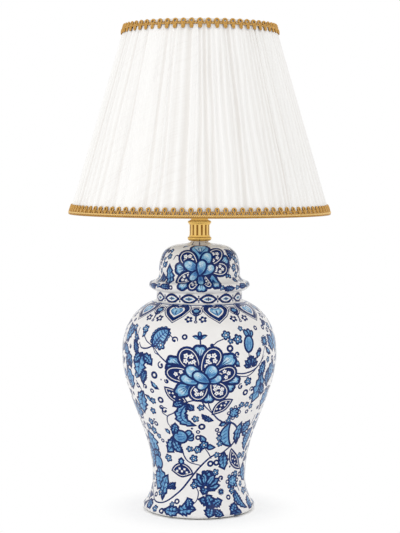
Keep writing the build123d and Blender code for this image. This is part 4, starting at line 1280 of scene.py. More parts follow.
@dataclass
class Porcelain:
    """A painted, turned piece: its canvas made into one closed mesh."""

    name: str
    node: str
    canvas: Canvas
    columns: int = 96
    corner_reach: float = 0.05
    patch_corner: Point = (0.99, 0.99)
    holes: list = field(default_factory=list)
    patches: list = field(default_factory=list)

    def rows(self) -> Array:
        """Runs for the rows: the profile's own points, and more where they are far apart."""
        found, start = [0.0], 0.0
        for run in self.canvas.profile.runs:
            for gap in np.linalg.norm(np.diff(run, axis=0), axis=1):
                pieces = max(1, round(gap / LONGEST_ROW))
                found += [start + gap * (i + 1) / pieces for i in range(pieces)]
                start += gap
        return np.array(found)

    def build(self, material: Material, slot: str) -> Piece:
        """Cuts the canvas along every outline into triangles, and wraps them round the piece.

        A triangle takes the ink of the last shape round its middle. A place at a turn and a
        run goes to (r sin turn, -r cos turn, z), with r and z read from the profile.

        Args:
            material: The glaze.
            slot: The record's material slot; not used.

        Returns:
            The object, which replaces its CAD node.
        """
        canvas, profile = self.canvas, self.canvas.profile
        points, edges = flat_grid(canvas, self.columns, self.rows())
        outlines = [shape for shape, _ in canvas.shapes] + self.holes
        start = len(points)
        for outline in outlines:
            count = len(outline)
            edges += [(start + i, start + (i + 1) % count) for i in range(count)]
            start += count
        flat = [Vector(point) for point in np.concatenate([points, *outlines]).tolist()]
        result = delaunay_2d_cdt(flat, edges, [], 0, 1e-4, False)
        places = np.array([tuple(point) for point in result[0]])
        faces = np.array([face for face in result[2] if len(face) == 3])
        middles = places[faces].mean(1)
        corner = np.array((canvas.seam * canvas.degree, 0.0))
        opposite = np.array(((canvas.seam + 360) * canvas.degree, profile.total))
        kept = ((middles > corner) & (middles < opposite)).all(1)
        faces, middles = faces[kept], middles[kept]
        order = np.argsort(middles[:, 0])
        faces, middles = faces[order], middles[order]
        ink = np.zeros(len(faces))
        inks = [value for _, value in canvas.shapes] + [math.nan] * len(self.holes)
        for outline, value in zip(outlines, inks):
            (left, bottom), (right, top) = outline.min(0), outline.max(0)
            first, last = np.searchsorted(middles[:, 0], (left, right))
            level = middles[first:last, 1]
            near = first + np.nonzero((level > bottom) & (level < top))[0]
            ink[near[inside(middles[near], outline)]] = value
        # What lies in a hole has no ink at all, and goes.
        whole = ~np.isnan(ink)
        return self._wrap(places, faces[whole], middles[whole], ink[whole], material)

    def _wrap(self, places: Array, faces: Array, middles: Array, ink: Array,
              material: Material) -> Piece:
        """Puts flat triangles round the piece, with normals from the profile."""
        canvas, profile = self.canvas, self.canvas.profile
        angle = np.radians(places[:, 0] / canvas.degree)
        radius, height = profile.at(places[:, 1])
        solid = stand(radius, angle, height)
        # A corner's slope is read a little towards its face's middle, so that a sharp edge
        # of the profile stays sharp.
        across, runs = places[faces].reshape(-1, 2).T
        aside = np.clip(np.repeat(middles[:, 1], 3) - runs, -self.corner_reach, self.corner_reach)
        out, up = profile.normal(runs + aside).T
        normals = stand(out, angle[faces].ravel(), up)
        atlas = np.stack([(across / canvas.degree - canvas.seam) / 360, runs / profile.total], 1)
        for patch_points, patch_faces, patch_normals in self.patches:
            faces = np.concatenate([faces, patch_faces + len(solid)])
            solid = np.concatenate([solid, patch_points])
            normals = np.concatenate([normals, patch_normals])
            atlas = np.concatenate([atlas, np.tile(self.patch_corner, (patch_faces.size, 1))])
            ink = np.concatenate([ink, np.zeros(len(patch_faces))])
        rounded, number = np.unique(np.round(solid, WELD_DIGITS), axis=0, return_inverse=True)
        faces = number.reshape(-1)[faces]
        whole = (faces != np.roll(faces, 1, 1)).all(1)
        faces, ink = faces[whole], ink[whole]
        corners = np.repeat(whole, 3)
        normals, atlas = normals[corners], atlas[corners]
        mesh = bpy.data.meshes.new(self.name)
        mesh.from_pydata((rounded * MM).tolist(), [], faces.tolist())
        mesh.materials.append(material)
        cobalt = mesh.attributes.new("cobalt", "FLOAT", "CORNER")
        cobalt.data.foreach_set("value", np.repeat(ink, 3).astype(np.float32))
        chart = mesh.uv_layers.new(name="OFBake")
        chart.data.foreach_set("uv", atlas.astype(np.float32).ravel())
        mesh.shade_smooth()
        mesh.normals_split_custom_set(normals.tolist())
        made = add_object(self.name, mesh)
        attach(made, "lamp")
        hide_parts(self.node)
        log.info("%s: %d triangles, %d painted shapes", self.name, len(faces), len(canvas.shapes))
        return made


# ---- the jar's flowers


JAR_STEMS = stems(
    "1.25 36 99 26 90 14.9 86.5 2.3 73 -9.8 55.5 -21.2 39 -38.4 22 -49.7 17.5 -60 19 -66 25 -74 34",
    "1 -18.2 97 -16.5 86 -11 78 2.3 73.5; 1 .2 174 4.5 160 11.9 148; .8 6.5 170 8.5 158 11.9 148",
    "1.2 11.9 148 17 140 24 134.5 33 133; 1 -10.9 164.5 -4 167.5 3 165.5",
    ".9 -10.9 164.5 -17 157 -21.6 149 -28.6 143 -29.7 133 -27.1 127 -25 120",
    ".9 -28.6 143 -33 148 -32 155; 1.1 27.5 204 35 203 44 207 51 217 56.2 236",
    ".8 29 200 38 199 46 208 55 224; 1 -22 216 -26 222 -31 230 -36.1 240.5",
    ".7 -22 217 -30 228 -33.5 231 -35.6 239; 1.1 -36.1 240 -41 236 -47 236 -50 243",
    ".8 -36.5 240 -42 245 -46 252 -48 257; .8 -54 262 -54 252 -50 246",
    ".8 9.5 241.5 13 247 18 250.5 22 254; .7 22.7 235 22.4 231 21 228; .8 38.3 233 38.5 226 39.5 221",
    ".8 -3.2 43 -.6 36 -2.2 26 -8 18.5; .9 -31 255.5 -24 256 -20 252; .9 62 140 60 128 54 120 46 118",
    ".9 -56 190 -52 181 -50 172; .9 -48 118 -50 128 -44 137; .9 -61 128 -60.5 116 -61.6 104",
    ".8 44 60 44.5 54 46 49; .8 57 32 54 40 49 43; .8 14 83 10.5 91 6 99",
    # vines that tie the sides together
    "1.1 58 168 70 178 82 172 92 154 97 134 90 114; 1 82 172 92 184 104 188 116 178",
    "1 90 114 80 100 76 84 82 66 96 56; 1 97 134 107 128 113 116 111 102",
    "1 84 238 91 216 85 198 76 188; .9 91 216 101 224 107 238 103 252; .9 82 66 76 48 82 30 96 22")

JAR_GROWTHS = growths(
    # the crest, bell and leaves to the left of the great flower
    "spray -36.2 239 -24 262.5 19 -.05; leaf -45.4 229 -50.6 196 17 .06; -45 226 -36.5 214 9 -.12",
    "leaf -46 226 -54.5 214 8 .12; horn -52 227 -57 244 8 .12; dark -48 250 -45.6 259 4.5",
    "dark -56 250 -60 258 4.5; -52.5 250 -54.4 243 4.5 -.1; leaf -67 240 -71 265 10",
    "leaf -62 224 -66 205 10; horn -42 204 -47 186 9 .14; dark -38.5 192 -32 181 5.5",
    # the sprout and the buds above
    "sprig .9 243.5 .3 259.5 14; bud 38 231.5 41.2 261 12.5; dark 27 224 30.5 213 6 .15",
    "dark 46.5 222 50.5 233 7 -.1; 57.5 236 65 225 6; leaf 63 250 69 228 12 -.1; 72 256 76 224 14 -.1",
    "horn 56 216 52.5 190 11 .12; leaf 70 214 67 186 15 .08; 74 176 66 150 14 .08; -59 262 -71 240 11",
    "leaf -60 206 -66.5 228 10; -68 206 -64 176 15 -.1; -66 160 -71 132 14 -.1",
    # below the great flower
    "dots -10.1 165 -26.6 184.5 14 -.05; 11.9 148 27.2 167 13.5 -.06",
    "horn -10.2 162.5 -3.3 131.5 14 .42; leaf -12 163 -21.5 158.5 7; -8.5 162 -4.6 154 6",
    "leaf -49 175 -56.6 143 15; dark -48 171 -41.5 160 5 -.1; leaf 2.7 147 12 138.5 4.6",
    "pod 36 99 29.8 134 15 -.2; dark 26.5 133 18.6 130.5 6.5; leaf 46 118 54.5 133 12",
    "dark 48 118 58 112 6; leaf 53 201 48.6 160 15 -.08; 54 186 61.5 172 8; horn 62 205 66 180 9 .15",
    "bud -26.5 112.5 -5.6 117.5 16; leaf -26.5 118 -22.2 133.5 8 .08; -27.5 113 -36.8 90 11 -.1",
    "leaf -26.5 111 -19.4 91.5 9; dark -30 117 -34.5 124 5",
    # round the waist
    "dots -7.9 62 -33.4 64.5 16.5; dark -21.4 72.5 -20.1 84.5 7.5 0; leaf 28.5 91 31.8 66.5 11 .06",
    "dots 37.5 94 58 63.5 12 .08; leaf -58.5 82 -64 116 17 .06; bud -57.5 62 -56 90 16",
    "leaf -57 66 -60.6 34 19 -.1; horn -72 96 -73 62 14 -.14; leaf -46.5 22.5 -40.7 56.5 11.5 -.12",
    "leaf -41 40 -30 47 5; horn 66 120 61.5 90 14 .16; leaf 66 70 74 44 11",
    # round the foot
    "leaf -4 14 -23 9.5 12; -20 12 -38.5 11.5 11 -.08; -11 15 -13.2 28 7.5; 14.8 17.5 .2 27 8",
    "leaf 14.8 16 9 32.5 9 .06; 14 18 10.4 3.5 9.5 .05; 14.8 16.5 27 24 8 -.1; 16 14 25.5 5 7",
    "leaf 9.3 47 4.8 33.5 8 0; 10.5 49 19 38 7 0; horn 49 34 60.5 10 11 .16; leaf 34 6 43.5 19 9",
    "leaf 40 9 49 4.5 8; 63 8 75 22 9; -60 8 -72 15 9",
    # round the sides
    "horn 97 136 105 160 12 .2; leaf 92 184 99 208 10 -.1; 90 114 99 100 9; dots 92 154 80 138 10 .08",
    "leaf 78 92 92 80 8 -.1; horn 79 60 94 40 10 -.15; dots 101 224 92 244 9 .06",
    "leaf 107 238 117 226 9")

JAR_MARKS = marks(
    "curl -18.6 249.5 4.8; ring -10.9 253.5 3.2; blossom 20.6 255.5 5.4; 23.6 247.5 3.4",
    "blossom 29.8 249.5 5.8; leftcurl 9.4 242.5 2.4; ring 22.7 238 4; leftcurl 28.4 230 4.2 90",
    "flower 40.5 216.5 9.5 8; berries 57 243.5 8.5; curl -28.4 214.5 5.2 120; blossom -46.6 261 5",
    "blossom -60.4 261 4.2; curl -62.5 214 4; ring -34.6 200.5 4.2; curl -24.4 193.5 3.4 160",
    "dot -29 195 1.2; ring -32.2 166 3.8; -38.9 178 2.7; leftcurl -45.3 182.5 4.2 20",
    "ring -54.4 182.5 3; blossom -40.2 163.5 4; -43.4 148.5 4.2; dot -45.5 136 1.5",
    "curl -30.2 151 5 60; blossom 1.4 157.5 4; -3.2 141 4.2; ring 2.6 129.8 4; dot -6.6 127 1.7",
    "berries 31.6 148 11.5; blossom 27.2 137.5 3.4; 37.4 158.5 3.8; 43 158 3.6; 48.6 154.5 3.4",
    "ring 45.6 147.5 2.6; dot 52.5 147 1.4; blossom 39 191.5 5; curl 32.8 185 4.4 100",
    "ring 38.4 176 3.7; leftcurl 44.6 179.5 4.4; blossom 46 168.5 3.4; -50.4 119 4.8; -45 112 3.4",
    "ring -41 106 2.4; dot -57.8 110.5 1.6; ring -.9 122.2 2.3; -.9 114 3.2; star 5.4 103 15.5",
    "blossom -1.6 96 4.6; -10 97 3.9; -5.8 83.5 4.6; -37.2 81.5 4.8; ring 17.4 124.5 2.5; 19.6 119 2.6",
    "blossom 20.6 112.5 3.4; 22.2 104 3.8; ring 13.4 75.8 3.7; 20.6 76.8 3.7; dot 39.6 69 1.7",
    "dot 41.4 74 1.1; flower 9.8 50.5 15.5 -14; blossom -5.8 45.5 4.2; 20 63 4.2",
    "leftcurl 27.8 54 4.6 60; berries 45.6 48 13; blossom 43.4 35 4.2; 50 57.5 3.8",
    "berries 27.4 35.5 5; blossom -29.1 241.5 5.6; ring 36.8 27 3; blossom -51 132 4.2",
    "ring -44.2 130 3; blossom -57.2 123.5 4.2; curl -22 217.5 3.6 200; 3.4 56 3.6; -33 155 3.6 40",
    "blossom -53.6 197 3.8; leftcurl 50 232 4; blossom 20 88 3.6; -55 249 3.6; leftcurl -31 40 3.4",
    "ring -25.6 22.8 3.2; blossom -31 18.6 3.2; ring -41.6 8.5 3.6; blossom -52 9.5 4.4; -52.4 31 4",
    "blossom 53.4 82.5 4; 62 82 4.4; 66.8 30.5 4.6; ring 58.6 55 3; blossom 75 95 4.4; curl 67 148 4.6",
    "blossom 74 160 4.8; -66 150 4.6; ring -65 136 3; leftcurl -70 120 4.4; blossom -66 182 5",
    "berries -74 196 8; blossom -76 232 5; berries 76 202 8; ring 68 218 3.2; flower -78 152 10",
    "flower 78 122 10; blossom -76 48 4.6; berries 83 70 7; flower 86 238 11; star 86 176 13",
    "blossom 84 24 4.6; -84 20 4.4; curl -82 92 4.8; star -86 116 12; blossom 88 150 4.6; 87 102 4",
    "ring 90 52 3.2; blossom -86 68 4.4; -84 176 4.6; ring -83 214 3.2; blossom -86 256 4.6",
    "blossom 72 262 4.4; ring 50 262 2.8; blossom 34 263 3.2")

GREAT_FLOWER = growths(
    "fan .5 218 .4 242 21; -8 210 -22.6 224 15; -8 205 -24 213.5 12; 9 209 26 226 21",
    "fan -3 194 -17.4 175.5 19; 7.2 188 7.2 165.5 18; 11 198 26.4 182.5 15; 14 201 30.6 193.5 13",
    "petal 4 197 -24.4 206.5 21; 6 196 27.2 208 21; .8 206 -12.8 236.8 25; 1.2 206 14 237.2 25",
    "petal 6.4 196 -4.6 170 23; 8 196 20 171 23; wash 5 194 -14 199 16; 5 194 17 199.5 13",
    "wash 4 197 -9.6 213.5 17; 4 197 12 215 18; 8 194 -1.4 185 12.5; 8 192.5 -4.4 205.5 14.5")

LID_FLOWER = growths(
    "fan 1 352 1.2 371.6 24; -12 341 -35 341 17; 22 343 45.5 354.5 15; 18 334 20 316.5 14",
    "fan -9 330 -23 314.5 14; 2 328 2.4 311.5 16; petal -2 339 -31 323 16; 9 341 43 340.5 18",
    "petal -1 342 -27.5 362.5 22; 5 344 36.5 366 20; 5 336 12 317 12.5; 0 335 -10.5 314 13",
    "wash 2 338 -22.5 350 15; 2 338 15 363.5 16; 0 340 -13.5 325.5 11; 1 337 2.2 320.5 10",
    "wash 1 333 21.5 345.5 14; 0 332 5 353.5 14")

LID_ITEMS = (
    *stems(
        ".9 -1.5 376 .5 373.5 1 371.5; .8 -40 376 -30 373 -14 371.8; .8 40 376 48 373 60 371",
        ".9 -26 352 -33 358 -38 358.5 -41 353; .9 40 356 48 352 47 344 45 333",
        ".8 -50 364 -56 356 -64 352; .8 66 357 60 346 62 333"),
    *growths(
        "dark -24 371.5 -34 369 3.5; -16 372 -26 372.6 3; leaf -37.5 320.5 -47 346 9.5 -.08",
        "dark -50 362 -56 366.5 4.5; -58 354 -64 351 3.6; -53 350 -57 341 4.5; -66 341 -67 332 4.5",
        "dark 64 351 68 358 3.6; 45 333 40 328 4; 45 333 50 328 4; leaf -34 315 -50 316 5.5",
        "leaf 29 316 43 315 5.5; 52 316 66 316 5.5 -.1; -58 318 -74 317 5.5 -.1; 74 318 88 316 5.5 -.1"),
    *marks(
        "blossom -50.5 357 3.6; -60 345.5 3.8; 66.5 351.5 4.4; 57.5 341.5 4.6; 62.5 331.5 3.8",
        "curl 46.5 343.5 3.4; ring -34 316 2.6; blossom 25.8 316.5 3.4; 48 315.5 3; -54 318 3.2",
        "blossom 70 317.5 3.2; flower -86 342 9; blossom 84 356 4.4; berries 84 334 6.5",
        "blossom -84 362 4; -76 326 3.8"))


def paint_both(canvas: Canvas, items: Sequence[Growth | Mark | Stem]) -> None:
    """Draws items on the front and again on the back."""
    for turned in (0.0, 180.0):
        for item in items:
            item.draw(canvas, turned)


@dataclass
class JarBody(Porcelain):
    """The jar: its great flower, vines, the band of lappets and the chain round its neck."""

    name: str = "painted_jar"
    node: str = "jar_body"
    canvas: Canvas = field(default_factory=lambda: Canvas(Profile([
        curve_run((71.5, 1), (77.5, 1), (79.155, 6.642), (77.3, 9), 10),
        curve_run((77.3, 9), (70.99, 17.02), (65, 28), (65, 47), 13),
        curve_run((65, 47), (65, 113), (108, 162), (108, 221), 30),
        curve_run((108, 221), (108, 266), (83.6, 287), (59.6, 295), 28), line_run((59.6, 295), (59.6, 308)),
        line_run((59.6, 308), (54.6, 308), (54.6, 290)),
        curve_run((54.6, 290), (78.6, 282), (103, 266), (103, 221), 12),
        curve_run((103, 221), (103, 162), (60, 113), (60, 47), 12),
        line_run((60, 47), (60, 26), (5.5, 26), (5.5, 20), (58, 20), (64.5, 1), (71.5, 1))])))
    lappets: int = 9
    lappet_turn: float = 17.0
    shoulder: float = 295.0
    band_drop: float = 7.0
    band_half: float = 1.0
    lozenges: int = 14
    lozenge_turn: float = 12.0
    lozenge_height: float = 300.2
    inlet_height: float = 9.5
    inlet_flat: float = 72.3
    inlet_radius: float = 6.7
    inlet_bore: float = 5.1
    inlet_sides: int = 40
    # The heights on the outside between which its edge is sought, and the runs before the end.
    inlet_outside: Point = (1.5, 20.0)
    inlet_inside: Point = (27.0, 7.1)

    def paint(self) -> None:
        """Paints both sides alike, and the bands all round."""
        canvas = self.canvas
        paint_both(canvas, (*JAR_STEMS, *JAR_GROWTHS, *JAR_MARKS, *GREAT_FLOWER))
        band_run = canvas.profile.run_of(self.shoulder) - self.band_drop
        low, high = band_run - self.band_half, band_run + self.band_half
        for number in range(self.lappets):
            turn = self.lappet_turn + number * 360 / self.lappets
            self._medallion(Pen(canvas, turn + 180 / self.lappets, band_run))
            self._lappet(Pen(canvas, turn, band_run))
        canvas.lay(np.array([(-90, low), (270, low), (270, high), (-90, high)]), DEEP)
        filler = GapFiller(canvas, canvas.profile.run_of(3.0), band_run, seed=5, clear=57.0)
        log.info("%s: %d small motifs in the gaps", self.name, filler.fill())
        for number in range(self.lozenges):
            turn = self.lozenge_turn + number * 360 / self.lozenges
            self._link(canvas.pen(turn + 180 / self.lozenges, self.lozenge_height))
            self._lozenge(canvas.pen(turn, self.lozenge_height))

    @staticmethod
    def _lappet(pen: Pen) -> None:
        """A heart-shaped lappet that hangs from the band, drawn in nested hearts."""
        half = smooth([(0, -4.4), (5.0, -1.0), (11.6, -2.0), (15.6, -8.6), (15.0, -14.5),
                       (10.0, -23.0), (0, -31.5)], 5)
        heart = np.concatenate([half, (half * (-1, 1))[-2:0:-1]])
        pen.nest(heart, (3.6, LINE), (2.2, BARE), (1.1, LINE))
        middle = pen.at(0, -13.5)
        for share, drop, ink in ((0.68, 0.6, BARE), (0.54, 0.6, LIGHT), (0.3, 0.8, WASH)):
            middle.fill((heart + (0, 13.5)) * share - (0, drop), ink)
        for side in (-1, 1):
            pen.line([(side * 3.2, -9.4), (side * 6.6, -5.2), (side * 10.6, -6.2),
                      (side * 11.4, -10.6)], (0.5, 1.1, 0.8), LINE, 5)
            pen.line([(side * 1.0, -22.6), (side * 5.0, -18.4), (side * 8.8, -13.4)],
                     (0.3, 0.8, 0.5), MIDDLE)
        pen.line([(0, -13.0), (0, -22.0)], (0.5, 1.1, 0.3), per_span=3)

    @staticmethod
    def _medallion(pen: Pen) -> None:
        """A round medallion between lappets, with two stars and a bud below it."""
        for side in (-1, 1):
            pen.line([(side * 8.4, -1), (side * 11.4, -5), (side * 12.6, -11)], (1.4, 1.2, 0.5), LINE, 6)
        plate = pen.at(0, -13.4)
        for radius, ink in ((9.0, LINE), (7.9, BARE), (6.7, LINE)):
            plate.fill(disc(radius, 20) * (1.0, 1.04), ink)
        plate.fill(disc(2.9, 12) * (1.2, 1.0), LIGHT)
        for side in (-1, 1):
            plate.at(side * 4.6, 3.0).fill(disc(0.9, 6), BARE)
            star = pen.at(side * 9.6, -29.0)
            star.fill(scallop(5.9, 5, 0.4, 4))
            star.fill(disc(1.9, 8), BARE)
        pen.line([(0, -19), (0, -27), (0, -31)], (1.1, 1.2, 0.8), LINE, 6)
        for side in (-1, 1):
            pen.at(0, -24.0, 44 * side).fill(petal(6.5, 2.8, 0.3, 9))
        pen.at(0, -33.0).ringed(2.4, 0.9, (9, 6))

    @staticmethod
    def _lozenge(pen: Pen) -> None:
        """A pointed oval on its side with a small cross of petals."""
        for length, width, ink in ((25.8, 14.6, LINE), (17.6, 7.4, BARE), (13.2, 4.6, WASH)):
            pen.at(length / 2, 0, 90).fill(blade(length, width, count=16), ink)
        for angle, reach in ((0, 2.6), (90, 4.0), (180, 2.6), (270, 4.0)):
            pen.at(0, 0, angle).fill(petal(reach, 1.7, 0.3, 8))

    @staticmethod
    def _link(pen: Pen) -> None:
        """A small tied link between two ovals: a ringed knot with a dot above and below."""
        for side in (-1, 1):
            pen.at(0, side * 3.6).fill(disc(1.3, 8))
            pen.line([(side * 3.4, -1.6), (0, 0), (side * 3.4, 1.6)], (0.7, 0.8, 0.7), LINE, 2)
        pen.ringed(2.2, 1.0, (10, 7))

    def _ring_on(self, radius: float, low_run: float, high_run: float) -> tuple[Array, Array]:
        """A round hole seen along Y, as canvas places and as points on the back of the piece.

        Its edge is (radius cos a, inlet height + radius sin a); the surface there is at the
        turn 180° - asin(x / r) of the run whose height it has.
        """
        profile = self.canvas.profile
        x, z = disc(radius, self.inlet_sides).T
        runs = np.linspace(low_run, high_run, 400)
        heights = profile.at(runs)[1]
        order = np.argsort(heights)
        run = np.interp(self.inlet_height + z, heights[order], runs[order])
        r, height = profile.at(run)
        turn = 180 - np.degrees(np.arcsin(x / r))
        solid = np.stack([x, np.sqrt(r ** 2 - x ** 2), height], 1)
        return np.stack([turn * self.canvas.degree, run], 1), solid

    def cut_inlet(self) -> None:
        """Cuts the cord's way in: a spot face at the back of the foot and a bore behind it."""
        profile = self.canvas.profile
        outside = (profile.run_of(height) for height in self.inlet_outside)
        outer_flat, outer = self._ring_on(self.inlet_radius, *outside)
        inside_runs = (profile.total - back for back in self.inlet_inside)
        inner_flat, inner = self._ring_on(self.inlet_bore, *inside_runs)
        self.holes = [outer_flat, inner_flat]
        scale = self.inlet_bore / self.inlet_radius
        flat, axis = np.full(len(outer), self.inlet_flat), (0, 0, self.inlet_height)
        face_out = np.stack([outer[:, 0], flat, outer[:, 2]], 1)
        face_in = np.stack([outer[:, 0] * scale, flat,
                            self.inlet_height + (outer[:, 2] - self.inlet_height) * scale], 1)
        for first, second in ((outer, face_out), (face_out, face_in), (face_in, inner)):
            points = np.concatenate([first, second])
            # Each wall looks at the hole's axis, and the spot face between them looks back.
            normals = (axis - points) * (1, 0, 1)
            if first is face_out:
                normals = np.broadcast_to((0.0, 1.0, 0.0), points.shape)
            i = np.arange(len(first))
            j = np.roll(i, -1)
            faces = np.concatenate([np.stack([i, i + len(i), j + len(i)], 1),
                                    np.stack([i, j + len(i), j], 1)])
            self.patches.append((points, faces, unit(normals)[faces.ravel()]))


@dataclass
class JarLid(Porcelain):
    """The domed lid, with its flange, its skirt and its flower."""

    name: str = "painted_lid"
    node: str = "jar_lid"
    canvas: Canvas = field(default_factory=lambda: Canvas(Profile([
        curve_run((59.6, 308), (63.2, 308), (64.52, 309), (68.12, 311.6), 8),
        curve_run((68.12, 311.6), (70.75, 313.9), (70.75, 318.1), (68.12, 320.4), 10),
        curve_run((68.12, 320.4), (63.52, 322.4), (56.5, 323), (56.5, 331), 12),
        curve_run((56.5, 331), (56.5, 358), (50, 371), (24, 372.5), 30),
        curve_run((24, 372.5), (16.8, 373.4), (12, 374.3), (12, 376.8), 8),
        line_run((12, 376.8), (5.5, 376.8), (5.5, 367.5), (24, 367.5)),
        curve_run((24, 367.5), (45, 366), (49.4, 353), (49.4, 331), 20),
        line_run((49.4, 331), (49.4, 298), (54.4, 298), (54.4, 308), (59.6, 308))])))

    def paint(self) -> None:
        """Paints the flower and the sprigs on both sides."""
        paint_both(self.canvas, (*LID_ITEMS, *LID_FLOWER))
        run_of = self.canvas.profile.run_of
        filler = GapFiller(self.canvas, run_of(311.0), run_of(368.0), seed=3, clear=50.0)
        log.info("%s: %d small motifs in the gaps", self.name, filler.fill())


# ---- the shade


@dataclass
class Cone:
    """The shade's cone: its radius falls evenly as the height rises."""

    low: float = 414.8
    low_radius: float = 180.5
    fall: float = 0.29364

    def radius(self, height: Array | float) -> Array:
        """The cloth's outer radius at each height."""
        return self.low_radius - self.fall * (height - self.low)

    def slant(self, low: float, high: float) -> float:
        """The cone's own length between two heights, in metres."""
        return (high - low) * math.hypot(1, self.fall) * MM

    def lay(self, along: Array, height: Array, out: Array, middle: float) -> Array:
        """Points a distance along the cone at its middle height, a height and a way out.

        The angle is along over the radius at the middle height, and the point stands out
        from the cone square to it.
        """
        lean = math.hypot(1, self.fall)
        return stand(self.radius(height) + out / lean, along / self.radius(middle),
                     height + out * self.fall / lean)

    def outward(self, points: Array) -> Array:
        """The direction square to the cone at points on it."""
        return unit(unit(points * (1, 1, 0)) + (0, 0, self.fall))


@dataclass
class Braid:
    """A gold braid round the shade: cords laid in repeats, and strands that run right round."""

    cone: Cone
    low: float
    loops: int
    width: float = 15.0
    parts: list = field(default_factory=list)

    def __post_init__(self) -> None:
        """Measures one repeat at the braid's middle height."""
        self.middle = self.low + self.width / 2
        self.girth = math.tau * self.cone.radius(self.middle)
        self.half = self.girth / self.loops / 2

    def cord(self, path: Array, radius: float, sides: int, closed: bool = True) -> None:
        """Lays a cord once in every repeat.

        Args:
            path: Its points (along, up, out) in one repeat.
            radius: Its radius.
            sides: How many sides it has.
            closed: Whether it closes on itself.
        """
        along, up, out = path.T
        shift = np.arange(self.loops)[:, None] * (self.girth / self.loops)
        laid = self.cone.lay(along + shift, self.low + up, out, self.middle)
        self.parts.append(tubes(laid, self.cone.outward(laid), radius, sides, closed))

    @staticmethod
    def oval(x: float, y: float, wide: float, high: float, out: float, lift: float,
             count: int) -> Array:
        """A closed oval of points in one repeat, which rises by lift on one side."""
        a = turns_of(count)
        return np.stack([x + wide * np.cos(a), y + high * np.sin(a), out + lift * np.cos(a)], 1)

    def strand(self, up: float, out: float, radius: float, swing: float = 0.0, turns: int = 0,
               start: float = 0.0, per_turn: int = 8, sides: int = 6, kind: int = 0) -> None:
        """Lays one strand right round the shade, which may wind round its own middle line.

        Args:
            up: The middle line's height over the lower edge.
            out: How far it stands out from the cloth.
            radius: The strand's radius.
            swing: How far the strand winds from the middle line.
            turns: How often it winds in one repeat, or 0.
            start: Where in its turn it starts, from 0 to 1.
            per_turn: How many points it has in a turn.
            sides: How many sides it has.
            kind: How much paler than the rest it is: 1 is pale and -1 is dark.
        """
        steps = self.loops * max(turns, 1) * per_turn
        share = np.arange(steps) / steps
        wave = math.tau * (share * self.loops * turns + start)
        laid = self.cone.lay(share * self.girth, self.low + up + swing * np.sin(wave),
                             out + swing * 0.8 * np.cos(wave), self.middle)[None]
        points, faces, weave = tubes(laid, self.cone.outward(laid), radius, sides)
        self.parts.append((points, faces, weave * (1, 0.999) + (0, kind)))

    def build(self, name: str, material: Material) -> Piece:
        """Makes one object of all its cords and strands."""
        points, faces, weave = join(self.parts)
        return put_mesh(name, points, faces, material, weave)


